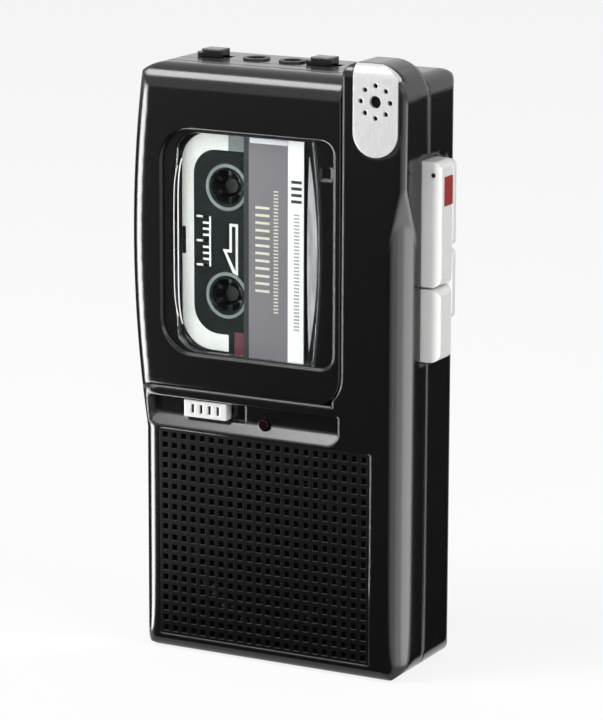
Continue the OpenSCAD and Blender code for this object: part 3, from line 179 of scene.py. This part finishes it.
def studio_material(name, colour, glow):
    """Paper or felt of a colour, or a strip that glows."""
    material = bpy.data.materials.new(name)
    material.use_nodes = True
    bsdf = material.node_tree.nodes["Principled BSDF"]
    bsdf.inputs["Base Color"].default_value = srgb(colour)
    bsdf.inputs["Roughness"].default_value = 0.9
    bsdf.inputs["Specular IOR Level"].default_value = 0.1
    bsdf.inputs["Emission Color"].default_value = (1, 1, 1, 1)
    bsdf.inputs["Emission Strength"].default_value = glow
    return material


def sheet(name, corners, material, height):
    """Flat four-cornered sheet that lies in the studio at a height."""
    mesh = bpy.data.meshes.new(name)
    mesh.from_pydata([(x, y, height) for x, y in corners], [], [(0, 1, 2, 3)])
    mesh.materials.append(material)
    obj = bpy.data.objects.new(name, mesh)
    bpy.context.scene.collection.objects.link(obj)
    return obj


paper = studio_material("white_paper_floor", "f4f4f4", 0.0)
tree = paper.node_tree
OWN_WHITE = 0.85
share = put(tree, "ShaderNodeMath", {0: sees_backdrop(tree), 1: OWN_WHITE}, operation="MULTIPLY")
white = put(tree, "ShaderNodeEmission", {"Color": (1, 1, 1, 1), "Strength": WHITE})
both = put(tree, "ShaderNodeMixShader", {"Fac": share.outputs[0], 1: tree.nodes["Principled BSDF"].outputs[0],
                                         2: white.outputs[0]})
tree.links.new(both.outputs[0], tree.nodes["Material Output"].inputs["Surface"])
FLOOR_HALF, FLOOR_Z = 6, -0.0002
sheet("floor", [(-FLOOR_HALF, -FLOOR_HALF), (FLOOR_HALF, -FLOOR_HALF), (FLOOR_HALF, FLOOR_HALF),
                (-FLOOR_HALF, FLOOR_HALF)], paper, FLOOR_Z)
print("floor:", 2 * FLOOR_HALF, "m square")

# %% [markdown]
# A black glossy thing shows what it mirrors. Its upright faces mirror the table, each along one
# direction: the front face the front left, the right side the back right. So sheets lie there, as a
# photographer lays them, felt where a face should stay black and light where an edge should show a
# line. Each starts at the foot of the case, widens away from it and shows in reflections only. The
# three strips at the right grow brighter one after the other, so the rolled edge shades to the side.

# %% Felt and strips of light
SHEET_Z = 0.001
felt = studio_material("black_felt", "080808", 0.0)
strips = [
    sheet("front_felt", [(-0.033, -0.013), (-0.80, -0.86), (0.62, -1.4), (0.033, -0.013)], felt, SHEET_Z),
    sheet("side_felt", [(0.03, -0.006), (0.7, 0.62), (0.3, 1.3), (0.03, 0.6)], felt, SHEET_Z),
    sheet("left_felt", [(-0.034, -0.011), (-1.06, -0.3), (-1.1, 0.8), (-0.034, 0.011)], felt, SHEET_Z),
    sheet("left_strip", [(-0.034, -0.0125), (-0.82, -0.78), (-1.06, -0.3), (-0.034, -0.011)],
          studio_material("left_light", "ffffff", 18.0), SHEET_Z),
]
STRIP_TURNS, STRIP_GLOWS, STRIP_REACH = (-48, -12, 14, 40), (0.7, 1.8, 4.5), 0.9
STRIP_X, STRIP_Y, STRIP_STEP = 0.034, -0.013, 0.003
for i, glow in enumerate(STRIP_GLOWS):
    near = [(STRIP_X, STRIP_Y + STRIP_STEP * k) for k in (i, i + 1)]
    far = [(STRIP_REACH * math.cos(math.radians(t)), STRIP_REACH * math.sin(math.radians(t)))
           for t in STRIP_TURNS[i:i + 2]]
    strips.append(sheet("right_strip_%d" % (i + 1), [near[0], far[0], far[1], near[1]],
                        studio_material("right_light_%d" % (i + 1), "ffffff", glow), SHEET_Z))
for obj in strips:
    obj.visible_camera = False
    obj.visible_shadow = False
    obj.visible_diffuse = False
print("sheets:", len(strips))

# %% [markdown]
# Every finish is a shader in real millimetres. A fine noise stands for the grain of the mould or of
# the lacquer: it tints the colour a little, breaks up the gloss and dents the surface by thousandths
# of a millimetre, or hundredths in paper and rubber. Real grain is often finer than a tenth of a
# millimetre, and is drawn at a tenth or two so that it shows. The edges are rounded in the shading, as
# a mould or a tumbling drum rounds them, so they catch a thin line of light.

# %% One finish
NOISE_LOW, NOISE_HIGH = 0.3, 0.7
GLOSS_SWING = 0.05


def finish(name, light, dark, rough, grain, depth, stretch=(1, 1, 1), edge=0.15, **shader):
    """Material with two tones, a roughness, and a grain of that size; lengths in millimetres."""
    material = bpy.data.materials.new(name)
    material.use_nodes = True
    tree = material.node_tree
    tree.nodes.clear()
    where = put(tree, "ShaderNodeTexCoord")
    laid = put(tree, "ShaderNodeMapping", {"Vector": where.outputs["Object"], "Scale": stretch})
    noise = put(tree, "ShaderNodeTexNoise", {"Vector": laid.outputs[0], "Scale": 1 / (grain * MM),
                                             "Detail": 3.0})
    tint = put(tree, "ShaderNodeValToRGB", {"Fac": noise.outputs[0]})
    for stop, at, tone in zip(tint.color_ramp.elements, (NOISE_LOW, NOISE_HIGH), (dark, light)):
        stop.position = at
        stop.color = srgb(tone)
    gloss = put(tree, "ShaderNodeMapRange", {"Value": noise.outputs[0], "From Min": NOISE_LOW,
                                             "From Max": NOISE_HIGH, "To Min": rough - GLOSS_SWING,
                                             "To Max": rough + GLOSS_SWING})
    edges = put(tree, "ShaderNodeBevel", {"Radius": edge * MM}, samples=8)
    dents = put(tree, "ShaderNodeBump", {"Height": noise.outputs[0], "Distance": depth * MM,
                                         "Normal": edges.outputs[0]})
    bsdf = put(tree, "ShaderNodeBsdfPrincipled", {"Base Color": tint.outputs[0],
                                                  "Roughness": gloss.outputs[0],
                                                  "Normal": dents.outputs[0], **shader})
    put(tree, "ShaderNodeOutputMaterial", {"Surface": bsdf.outputs[0]})
    return material


print("gloss varies by", GLOSS_SWING, "each way")

# %% [markdown]
# Outside, the recorder is moulded plastic: black for the case, lacquered silver for the controls, with
# one thin metal plate over the microphone. Each finish is kept under the name of its material slot in
# the record, so that the pieces can be dressed slot by slot.

# %% Finishes outside
CASE_EDGE = 0.7
finishes = {
    # satin black with a fine even mould grain
    "case_plastic": finish("black_abs", "121213", "0c0c0d", 0.17, 0.18, 0.002, edge=CASE_EDGE),
    # bright cool silver, lacquered over plastic
    "silver_plastic": finish("silver_lacquer", "eaeae8", "dededd", 0.34, 0.12, 0.003, edge=0.4, Metallic=0.1),
    # satin metal under clear lacquer, with a faint grain along the tower
    "silver_metal": finish("satin_aluminium", "d8d8d8", "c9c9cb", 0.38, 0.1, 0.004, (1, 1, 0.05), edge=0.2,
                           Metallic=0.25),
    # lilac grey metallic paint with a soft shimmer
    "grey_panel": finish("lilac_metal_paint", "777377", "6a666a", 0.38, 0.08, 0.002, Metallic=0.2),
    # deep warm red, glossy
    "red_plastic": finish("red_lacquer", "a03030", "8c2424", 0.3, 0.2, 0.004),
    # nearly black red epoxy of an unlit lamp
    "lamp_plastic": finish("lamp_epoxy", "1d0c0c", "150808", 0.12, 0.4, 0.002),
}
print("finishes outside:", len(finishes))

# %% [markdown]
# Inside are the mouldings of the cassette and of the small electric parts, soft rubber, and the metals
# of the drive: plated steel, blackened screws and turned brass. Some are seen through the window or
# with the door open, so all get the same care as the case.

# %% Mouldings and metals inside
finishes.update({
    # slippery acetal of the hubs, painted dark grey for the shade inside the cassette
    "white_plastic": finish("hub_acetal_painted_shade", "1e1f20", "161718", 0.4, 0.3, 0.004),
    # dull dark moulding of the small electric parts
    "component_plastic": finish("component_moulding", "26282b", "1b1c1f", 0.45, 0.2, 0.008),
    # smoky shell that shows dark
    "smoked_plastic": finish("smoked_polystyrene", "1d2122", "15191a", 0.18, 0.5, 0.002),
    # soft black rubber
    "rubber": finish("black_rubber", "26262a", "1b1b1d", 0.75, 0.25, 0.015),
    # zinc-plated steel with a faint bluish mottling
    "steel": finish("zinc_plated_steel", "b4b7ba", "9fa2a6", 0.34, 0.8, 0.004, Metallic=1.0),
    # blackened steel of the screws
    "dark_steel": finish("blackened_steel", "3b3c3f", "2a2b2d", 0.4, 0.3, 0.006, Metallic=0.9),
    # yellow brass, turned
    "brass": finish("turned_brass", "c9a862", "b4904a", 0.28, 0.15, 0.004, (1, 0.1, 1), Metallic=1.0),
})
print("finishes so far:", len(finishes))

# %% [markdown]
# The last group is thin stuff: the pressed cone of the speaker, the printed sleeve round the cells, the
# lacquered board and the tape, which is wound so tightly that its edge looks like one brown face.

# %% Paper, film and board
finishes.update({
    # fibrous dark paper
    "cone_paper": finish("pressed_paper", "2b2925", "1d1c19", 0.9, 0.35, 0.03),
    # orange-brown printed sleeve
    "cell_sleeve": finish("cell_sleeve_film", "bd8038", "a96f2c", 0.25, 0.6, 0.003),
    # green solder mask over copper
    "board": finish("solder_mask", "2f6b3c", "245532", 0.3, 1.2, 0.006),
    # wound tape, brown and shiny on its edge
    "tape": finish("wound_tape", "3a2a21", "281d17", 0.3, 0.06, 0.004),
})
print("finishes so far:", len(finishes))

# %% [markdown]
# The two long edges of the case are rounder than the others, to lie well in the hand, and broad soft
# lines of light run along them. Towards both sides the rounding in the shading grows from the case's
# own value to a radius just under the thickness of the wall.

# %% Rounder long edges
black_case = finishes["case_plastic"].node_tree
LONG_EDGE, EDGE_FROM, EDGE_TO = 1.6, 24.6, 27.0
where = black_case.nodes["Texture Coordinate"].outputs["Object"]
place = put(black_case, "ShaderNodeSeparateXYZ", {0: where})
aside = put(black_case, "ShaderNodeMath", {0: place.outputs["X"]}, operation="ABSOLUTE")
radius = put(black_case, "ShaderNodeMapRange", {"Value": aside.outputs[0], "From Min": EDGE_FROM * MM,
                                                "From Max": EDGE_TO * MM, "To Min": CASE_EDGE * MM,
                                                "To Max": LONG_EDGE * MM})
black_case.links.new(radius.outputs[0], black_case.nodes["Bevel"].inputs["Radius"])
print("case nodes:", len(black_case.nodes))

# %% [markdown]
# The window is clear acrylic, cast or moulded and polished. It bends light a little and mirrors the
# studio. It starts as a finish like the others and then gives up its tint and its uneven gloss, which
# clear plastic doesn't have. For shadow rays it lets the light through, since a thin sheet hardly
# darkens what is behind it.

# %% Clear acrylic
# clear and polished: colourless, with sharp reflections
clear = finish("clear_acrylic", "ffffff", "f4f6f6", 0.05, 1.0, 0.001)
finishes["clear_plastic"] = clear
tree = clear.node_tree
glass = tree.nodes["Principled BSDF"]
for unused in ("Color Ramp", "Map Range"):
    tree.nodes.remove(tree.nodes[unused])
glass.inputs["Base Color"].default_value = srgb("f6f8f8")
glass.inputs["Roughness"].default_value = 0.04
glass.inputs["Transmission Weight"].default_value = 1.0
glass.inputs["IOR"].default_value = 1.49
shadow = put(tree, "ShaderNodeLightPath")
through = put(tree, "ShaderNodeBsdfTransparent", {"Color": srgb("eef2f2")})
mixed = put(tree, "ShaderNodeMixShader", {"Fac": shadow.outputs["Is Shadow Ray"], 1: glass.outputs[0],
                                          2: through.outputs[0]})
tree.links.new(mixed.outputs[0], tree.nodes["Material Output"].inputs["Surface"])
print("clear acrylic nodes:", len(tree.nodes))

# %% [markdown]
# Each piece that comes from the frame gets the finish of its material slot in the record, so pieces
# that were moulded from one plastic look alike. The record's slots already say what each is made of.

# %% Finishes on the carried-over pieces
for name, obj in nodes.items():
    obj.data.materials.clear()
    obj.data.materials.append(finishes[slot_of[name]])
# the capsule sits in a rubber boot, so the hole in its plate looks black
nodes["mic_capsule"].data.materials[0] = finishes["rubber"]
print("finished:", len(nodes))

# %% [markdown]
# The printed and perforated pieces are flat work, so a few small functions make them: one turns an
# outline into a plate of ink or plastic between two depths, two draw outlines, and one hands a
# finished mesh to the body that carries it. The last measures a piece of the frame. Everything here is
# written in millimetres.

# %% Plates and pieces


def slab(outline, y0, y1):
    """Plate with an outline (x, z), from depth y0 in front to y1."""
    bm = bmesh.new()
    near = [bm.verts.new((x, y0, z)) for x, z in outline]
    far = [bm.verts.new((x, y1, z)) for x, z in outline]
    bm.faces.new(near)
    bm.faces.new(far[::-1])
    for i in range(len(outline)):
        bm.faces.new((near[i - 1], near[i], far[i], far[i - 1]))
    return bm


def oblong(x0, z0, x1, z1):
    """Corners of a rectangle."""
    return [(x0, z0), (x1, z0), (x1, z1), (x0, z1)]


def arc(x, z, r, start, end, steps=12):
    """Points on an arc, angles in degrees from +x towards +z."""
    turns = [math.radians(start + (end - start) * i / steps) for i in range(steps + 1)]
    return [(x + r * math.cos(t), z + r * math.sin(t)) for t in turns]


def piece(name, bm, material, body):
    """Piece made from a mesh in millimetres, riding a body."""
    bmesh.ops.recalc_face_normals(bm, faces=bm.faces)
    bmesh.ops.scale(bm, vec=(MM, MM, MM), verts=bm.verts)
    mesh = bpy.data.meshes.new(name)
    bm.to_mesh(mesh)
    bm.free()
    mesh.materials.clear()
    mesh.materials.append(material)
    obj = bpy.data.objects.new(name, mesh)
    bpy.context.scene.collection.objects.link(obj)
    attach(obj, body)
    return obj


def node_box(name):
    """Lowest and highest corner of a node in millimetres."""
    return [[v / MM for v in corner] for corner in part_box(name)]


print("front of the speaker panel: y", round(node_box("speaker_grille")[0][1], 2), "mm")

# %% [markdown]
# What repeats is set out by one Geometry Nodes tree: it takes a unit cell and repeats it in rows
# and columns over an upright grid, welds neighbours together and paints the result.

# %% Rows and columns
WELD = 0.001
grid_tree = bpy.data.node_groups.new("rows_and_columns", "GeometryNodeTree")
grid_sockets = {}
for label, kind in (("Geometry", "Geometry"), ("Columns", "Int"), ("Rows", "Int"), ("Step X", "Float"),
                    ("Step Z", "Float"), ("Material", "Material")):
    socket = grid_tree.interface.new_socket(label, in_out="INPUT", socket_type="NodeSocket" + kind)
    grid_sockets[label] = socket.identifier
grid_tree.interface.new_socket("Geometry", in_out="OUTPUT", socket_type="NodeSocketGeometry")
given = put(grid_tree, "NodeGroupInput").outputs
spans = []
for count, step in (("Columns", "Step X"), ("Rows", "Step Z")):
    gaps = put(grid_tree, "ShaderNodeMath", {0: given[count], 1: 1.0}, operation="SUBTRACT")
    spans.append(put(grid_tree, "ShaderNodeMath", {0: gaps.outputs[0], 1: given[step]}, operation="MULTIPLY"))
flat = put(grid_tree, "GeometryNodeMeshGrid", {"Size X": spans[0].outputs[0], "Size Y": spans[1].outputs[0],
                                               "Vertices X": given["Columns"], "Vertices Y": given["Rows"]})
upright = put(grid_tree, "GeometryNodeTransform", {"Geometry": flat.outputs[0],
                                                   "Rotation": (math.pi / 2, 0, 0)})
spread = put(grid_tree, "GeometryNodeInstanceOnPoints", {"Points": upright.outputs[0],
                                                         "Instance": given["Geometry"]})
solid = put(grid_tree, "GeometryNodeRealizeInstances", {"Geometry": spread.outputs[0]})
welded = put(grid_tree, "GeometryNodeMergeByDistance", {"Geometry": solid.outputs[0], "Distance": WELD})
painted = put(grid_tree, "GeometryNodeSetMaterial", {"Geometry": welded.outputs[0],
                                                     "Material": given["Material"]})
put(grid_tree, "NodeGroupOutput", {"Geometry": painted.outputs[0]})
print("tree nodes:", len(grid_tree.nodes))

# %% [markdown]
# A unit cell is put under the tree on a passing object. Its evaluated mesh is taken as a plain mesh
# and moved into place, and the object goes again, because only plain meshes are handed over.

# %% A repeated cell


def repeated(cell, columns, rows, step_x, step_z, material, middle):
    """The unit cell, a mesh in millimetres, repeated about a middle point, as a mesh to work on."""
    mesh = bpy.data.meshes.new("cell")
    cell.to_mesh(mesh)
    cell.free()
    obj = bpy.data.objects.new("cell", mesh)
    grid = obj.modifiers.new("rows_and_columns", "NODES")
    grid.node_group = grid_tree
    for label, value in (("Columns", columns), ("Rows", rows), ("Step X", step_x), ("Step Z", step_z),
                         ("Material", material)):
        grid[grid_sockets[label]] = value
    bpy.context.scene.collection.objects.link(obj)
    made = bpy.data.meshes.new_from_object(obj.evaluated_get(bpy.context.evaluated_depsgraph_get()))
    bpy.data.objects.remove(obj)
    bm = bmesh.new()
    bm.from_mesh(made)
    bmesh.ops.translate(bm, vec=middle, verts=bm.verts)
    return bm


print("tree inputs:", ", ".join(grid_sockets))

# %% [markdown]
# The speaker panel is a thin moulded lattice of square holes. The mould leaves a small slope round
# each hole, which catches the light and makes the lattice read from a distance. One cell is a square
# frame with that slope; the tree repeats it, and the outer cells are stretched to the panel's edge.

# %% Speaker lattice
PITCH, HOLE, SLOPE, NEAR_EDGE = 2.1, 1.15, 0.1, 0.01
# the case's black, moulded rougher: matt, so the edges of the holes stay quiet
grained = finish("grained_black_abs", "121213", "0c0c0d", 0.34, 0.18, 0.003, edge=0.05,
                 **{"Specular IOR Level": 0.12})
(gx0, gy0, gz0), (gx1, gy1, gz1) = node_box("speaker_grille")
cell = bmesh.new()
rings = []
for half, y in ((PITCH / 2, gy0), (HOLE / 2 + SLOPE, gy0), (HOLE / 2, gy0 + SLOPE), (HOLE / 2, gy1),
                (PITCH / 2, gy1)):
    rings.append([cell.verts.new((x * half, y, z * half)) for x, z in ((-1, -1), (1, -1), (1, 1), (-1, 1))])
for outer, inner in zip(rings, rings[1:]):
    for i in range(4):
        cell.faces.new((outer[i - 1], outer[i], inner[i], inner[i - 1]))
columns, rows = int((gx1 - gx0) / PITCH), int((gz1 - gz0) / PITCH)
gx, gz = (gx0 + gx1) / 2, (gz0 + gz1) / 2
lattice = repeated(cell, columns, rows, PITCH, PITCH, grained, (gx, 0, gz))
for v in lattice.verts:
    if abs(abs(v.co.x - gx) - columns * PITCH / 2) < NEAR_EDGE:
        v.co.x = gx0 if v.co.x < gx else gx1
    if abs(abs(v.co.z - gz) - rows * PITCH / 2) < NEAR_EDGE:
        v.co.z = gz0 if v.co.z < gz else gz1
bmesh.ops.bridge_loops(lattice, edges=[e for e in lattice.edges if e.is_boundary])
grille = piece("speaker_lattice", lattice, grained, "cabinet")
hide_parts("speaker_grille")
print("lattice:", columns, "x", rows, "holes,", len(grille.data.polygons), "faces")

# %% [markdown]
# Behind the window stands a painted panel with prints on it. Screen-printed ink is matt and some
# hundredths of a millimetre thick, so each ink is a finish of its own and each print a thin plate.

# %% Inks
# opaque and matt, a little greyer than paper; it also paints the highlights on the window's left edge
white_ink_and_highlight = finish("white_ink_and_highlight", "f0f0ee", "e6e6e4", 0.45, 0.3, 0.002)
# deep and matt, so it mirrors less than the case; it also paints the shade in the knob's grooves
black_ink_and_shade = finish("black_ink_and_shade", "0e0e10", "08080a", 0.4, 0.3, 0.002)
# warm and soft beside the lilac
cream_ink = finish("cream_ink", "d9d3c0", "cdc6b2", 0.5, 0.3, 0.002)
# quiet on the white strip
grey_ink = finish("grey_ink", "a8a8aa", "9a9a9c", 0.5, 0.3, 0.002)
# pale lilac, lighter than the panel, in a line along its top
pale_top_tone = finish("pale_lilac_top_line", "e4e1e8", "d8d5dc", 0.4, 0.3, 0.002)
INK = 0.03
print("ink is", INK, "mm thick")

# %% [markdown]
# The panel is lilac grey, with a black bar along its left edge, a white strip along its right edge
# and a lighter line on its top edge. It replaces the plain panel of the frame and is a little thinner,
# so that panel and ink together are no thicker than that one.

# %% Painted panel and its bands
BAR_W, STRIP_W = 1.05, 3.45
TOP_LINE_Z0, TOP_LINE_Z1, LEFT_GAP, RIGHT_GAP = 103.9, 104.8, 0.3, 0.1
(px0, py0, pz0), (px1, py1, pz1) = node_box("window_panel")
face = py0 + 2 * INK
bar_x, strip_x = px0 + BAR_W, px1 - STRIP_W
panel = piece("painted_panel", slab(oblong(px0, pz0, px1, pz1), face, py1), finishes["grey_panel"], "door")
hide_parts("window_panel")
piece("panel_bar", slab(oblong(px0, pz0, bar_x, pz1), face - INK, face), black_ink_and_shade, "door")
piece("panel_strip", slab(oblong(strip_x, pz0, px1, pz1), face - INK, face), white_ink_and_highlight, "door")
top_line = oblong(bar_x + LEFT_GAP, TOP_LINE_Z0, strip_x - RIGHT_GAP, TOP_LINE_Z1)
piece("panel_top_line", slab(top_line, face - INK, face), pale_top_tone, "door")
print("panel:", round(px1 - px0, 1), "x", round(pz1 - pz0, 1), "mm")

# %% [markdown]
# The marks on the panel and on its strip are plain ticks in rows. A row is one tick that the tree
# above repeats, so a row needs only its ink, its ends and its count.

# %% Ticks on the panel
TICK_INK = 0.02
tick_sets = (
    # name, ink, x0, x1, lowest z, highest z, tick height, count
    ("panel_long_ticks", cream_ink, bar_x + 1.5, bar_x + 4.6, 75.0, 91.4, 0.5, 12),
    ("panel_fine_ticks", cream_ink, bar_x + 5.5, bar_x + 6.5, 71.0, 94.8, 0.3, 36),
    ("strip_fine_ticks", grey_ink, strip_x + 1.3, strip_x + 2.5, 68.0, 90.6, 0.35, 34),
    ("strip_bold_ticks", black_ink_and_shade, strip_x + 0.7, strip_x + 3.0, 93.2, 97.0, 0.6, 4),
)
for name, ink, x0, x1, z0, z1, high, count in tick_sets:
    outline = oblong((x0 - x1) / 2, -high / 2, (x1 - x0) / 2, high / 2)
    tick = slab(outline, face - INK - TICK_INK, face - INK)
    pitch = (z1 - z0) / (count - 1)
    ticks = repeated(tick, 1, count, 1.0, pitch, ink, ((x0 + x1) / 2, 0, (z0 + z1) / 2))
    piece(name, ticks, ink, "door")
print("rows of ticks:", len(tick_sets))

# %% [markdown]
# The window is a bulging pane whose edges slope. Its right slope shows a painted highlight, a
# pale crescent which lies between two bows, so it is drawn as one outline from both.

# %% Painted highlight on the right edge of the window
# painted highlight of the sloping edge: whitish and dull, with faint lines along the edge
edge_highlight_paint = finish("painted_edge_highlight", "b9bbbd", "8d9092", 0.4, 0.5, 0.004, (1, 1, 0.1))
(wx0, wy0, wz0), (wx1, _, wz1) = node_box("door_window")
wz = (wz0 + wz1) / 2
# half height, then the place of the inner and the outer bow and how far each bends
HALF, INNER, INNER_BEND, OUTER, OUTER_BEND = 19, 2.5, 0.4, 0.3, 1.75
crescent = [(wx1 - INNER + INNER_BEND * (t / HALF) ** 2, wz + t) for t in range(-HALF, HALF + 1)]
crescent += [(wx1 - OUTER - OUTER_BEND * (t / HALF) ** 2, wz + t) for t in range(HALF, -HALF - 1, -1)]
piece("window_right_edge_highlight", slab(crescent, wy0 - INK, wy0), edge_highlight_paint, "door")
print("window:", round(wx1 - wx0, 1), "x", round(wz1 - wz0, 1), "mm")

# %% [markdown]
# The left edge has two painted highlights, white lines of ink: one on the face of the pane and a finer one on
# its rim.
# Both run straight and turn in at their ends, which a high power of the height draws well.

# %% Painted highlights on the left edge of the window
LINE_BEND, LINE_POWER, LINE_STEPS = 0.9, 6, 12
for name, inset, wide, high in (("window_left_line", 1.0, 0.3, 16.5), ("window_left_rim", 0.1, 0.22, 15.0)):
    heights = [high * k / LINE_STEPS for k in range(-LINE_STEPS, LINE_STEPS + 1)]
    line = [(wx0 + inset + LINE_BEND * abs(t / high) ** LINE_POWER, wz + t) for t in heights]
    line += [(x + wide, z) for x, z in reversed(line)]
    # the white ink paints the highlights of the edge
    piece(name, slab(line, wy0 - INK, wy0), white_ink_and_highlight, "door")
    print(name, "is", 2 * high, "mm long")

# %% [markdown]
# The loaded cassette is printed too, on its smoky shell: an off-white border that follows the window
# of the door, with a notch at its left and a grey end at its top right. The border is one outline,
# inner edge and outer edge joined, drawn from arcs and straight ends.

# %% Border of the cassette
# matt and a little warmer than the strip
cassette_white = finish("off_white_print", "e9e8e4", "dcdbd6", 0.45, 0.4, 0.002)
# dull grey that lets some of the dark shell through
ring_print = finish("pale_grey_print", "7c8484", "626a6a", 0.4, 0.4, 0.002)
LABEL_SINK = 0.15
shell_y = node_box("cassette_shell")[0][1] + LABEL_SINK
OUTER_X, NOTCH_X, END_X = -20.3, -19.5, -10.0
TOP_Z, INNER_TOP_Z, NOTCH_TOP_Z, NOTCH_LOW_Z, INNER_LOW_Z, LOW_Z = 105.0, 101.8, 86.1, 80.7, 65.3, 61.9
border = [(END_X, TOP_Z), (END_X, INNER_TOP_Z)]
border += arc(-12.7, 96.8, 5.0, 90, 180) + arc(-12.2, 70.8, 5.5, 180, 270)
border += [(END_X, INNER_LOW_Z), (END_X, LOW_Z)] + arc(-13.8, 68.5, 6.5, 270, 180)
border += [(OUTER_X, NOTCH_LOW_Z), (NOTCH_X, NOTCH_LOW_Z), (NOTCH_X, NOTCH_TOP_Z), (OUTER_X, NOTCH_TOP_Z)]
border += arc(-14.3, 99.0, 6.0, 180, 90)
piece("cassette_border", slab(border, shell_y - INK, shell_y), cassette_white, "cabinet")
end = oblong(-9.95, INNER_TOP_Z, -6.2, TOP_Z)
piece("cassette_border_end", slab(end, shell_y - INK, shell_y), ring_print, "cabinet")
print("border points:", len(border))

# %% [markdown]
# An outlined arrow shows which way the tape runs. It is a white arrow with a smaller dark one printed
# over it, which is simpler than an outline with a hole. Below it is a dark red patch.

# %% Arrow and patch on the cassette
# dark and matt, hardly more than a tint on the shell
red_print = finish("dark_red_print", "6a2630", "4e1b24", 0.35, 0.4, 0.002)
arrow = [(-9.8, 87.5), (-7.9, 87.5), (-7.9, 76.6), (-8.5, 76.6), (-11.3, 82.35), (-9.8, 82.35)]
core = [(-9.25, 86.95), (-8.45, 86.95), (-8.45, 78.2), (-10.4, 81.8), (-9.25, 81.8)]
patch = oblong(-8.7, 61.4, -5.8, 66.0)
piece("cassette_arrow", slab(arrow, shell_y - INK, shell_y), cassette_white, "cabinet")
piece("cassette_arrow_core", slab(core, shell_y - 2 * INK, shell_y - INK), finishes["smoked_plastic"],
      "cabinet")
piece("cassette_patch", slab(patch, shell_y - INK, shell_y), red_print, "cabinet")
print("arrow:", round(arrow[0][1] - arrow[2][1], 1), "mm long")

# %% [markdown]
# A pale ring is printed round each hub hole. It is swept by hand: four loops of points, the corners of
# its thin section, with faces from each loop to the next. Its middle is the hub's own, measured in the
# frame, so it stays centred.

# %% Rings round the hubs
RING_IN, RING_OUT, RING_STEPS = 3.95, 4.6, 48
ring_y = shell_y - LABEL_SINK
section = ((RING_IN, ring_y - INK), (RING_OUT, ring_y - INK), (RING_OUT, ring_y), (RING_IN, ring_y))
last_turn = 360 - 360 / RING_STEPS
for name, hub in (("upper_ring", "supply_hub"), ("lower_ring", "take_up_hub")):
    low, high = node_box(hub)
    hub_x, hub_z = (low[0] + high[0]) / 2, (low[2] + high[2]) / 2
    ring = bmesh.new()
    loops = [[ring.verts.new((x, y, z)) for x, z in arc(hub_x, hub_z, r, 0, last_turn, RING_STEPS - 1)]
             for r, y in section]
    for a, b in zip(loops, loops[1:] + loops[:1]):
        for i in range(RING_STEPS):
            ring.faces.new((a[i - 1], a[i], b[i], b[i - 1]))
    piece("cassette_" + name, ring, ring_print, "cabinet")
    print(name, "at", round(hub_x, 1), round(hub_z, 1))

# %% [markdown]
# Between the hubs a comb of ticks tells how much tape is left: nine short ticks, three long ones over
# them and a spine along their right ends. The tree repeats a short tick and a long one.

# %% Comb scale on the cassette
COMB_X, COMB_Z, TICK_HALF = -14.0, 83.6, 0.22
SPINE_HALF, SPINE_LEFT, SPINE_RIGHT = 5.0, 0.3, 0.1
for name, x0, count, step in (("short", -15.7, 9, 1.2), ("long", -17.1, 3, 4.8)):
    tick_half_w = (COMB_X - x0) / 2
    tick = slab(oblong(-tick_half_w, -TICK_HALF, tick_half_w, TICK_HALF), shell_y - INK, shell_y)
    ticks = repeated(tick, 1, count, 1.0, step, cassette_white, ((x0 + COMB_X) / 2, 0, COMB_Z))
    piece("cassette_comb_" + name, ticks, cassette_white, "cabinet")
spine = oblong(COMB_X - SPINE_LEFT, COMB_Z - SPINE_HALF, COMB_X + SPINE_RIGHT, COMB_Z + SPINE_HALF)
piece("cassette_comb_spine", slab(spine, shell_y - 1.5 * INK, shell_y), cassette_white, "cabinet")

# %% [markdown]
# Small dark marks finish the controls. The grooves of the mode knob, which give the thumb a
# grip, have black ink in their floors as painted shade, and the record key has a black dot beside its red
# insert.

# %% Marks on the controls and painted shade in the knob's grooves
GROOVES, GROOVE_W, GROOVE_END, GROOVE_D, FILL = 4, 0.7, 0.8, 0.5, 0.1
(kx0, ky0, kz0), (kx1, _, kz1) = node_box("mode_knob")
groove_h = (kz1 - kz0) / 2 - GROOVE_END
groove = oblong(-GROOVE_W / 2, -groove_h, GROOVE_W / 2, groove_h)
# black ink on the floor of each groove is painted shade
fill = slab(groove, ky0 + GROOVE_D - FILL, ky0 + GROOVE_D)
fills = repeated(fill, GROOVES, 1, (kx1 - kx0) / (GROOVES + 1), 1.0, black_ink_and_shade,
                 ((kx0 + kx1) / 2, 0, (kz0 + kz1) / 2))
piece("knob_groove_shade", fills, black_ink_and_shade, "mode_slider")
DOT_X, DOT_Z, DOT_R = 31.4, 99.6, 0.45
dot = arc(DOT_X, DOT_Z, DOT_R, 0, 345, 23)
record_y = node_box("record_key")[0][1]
piece("record_dot", slab(dot, record_y - INK, record_y + INK), black_ink_and_shade, "record_button")
print("knob grooves:", GROOVES)
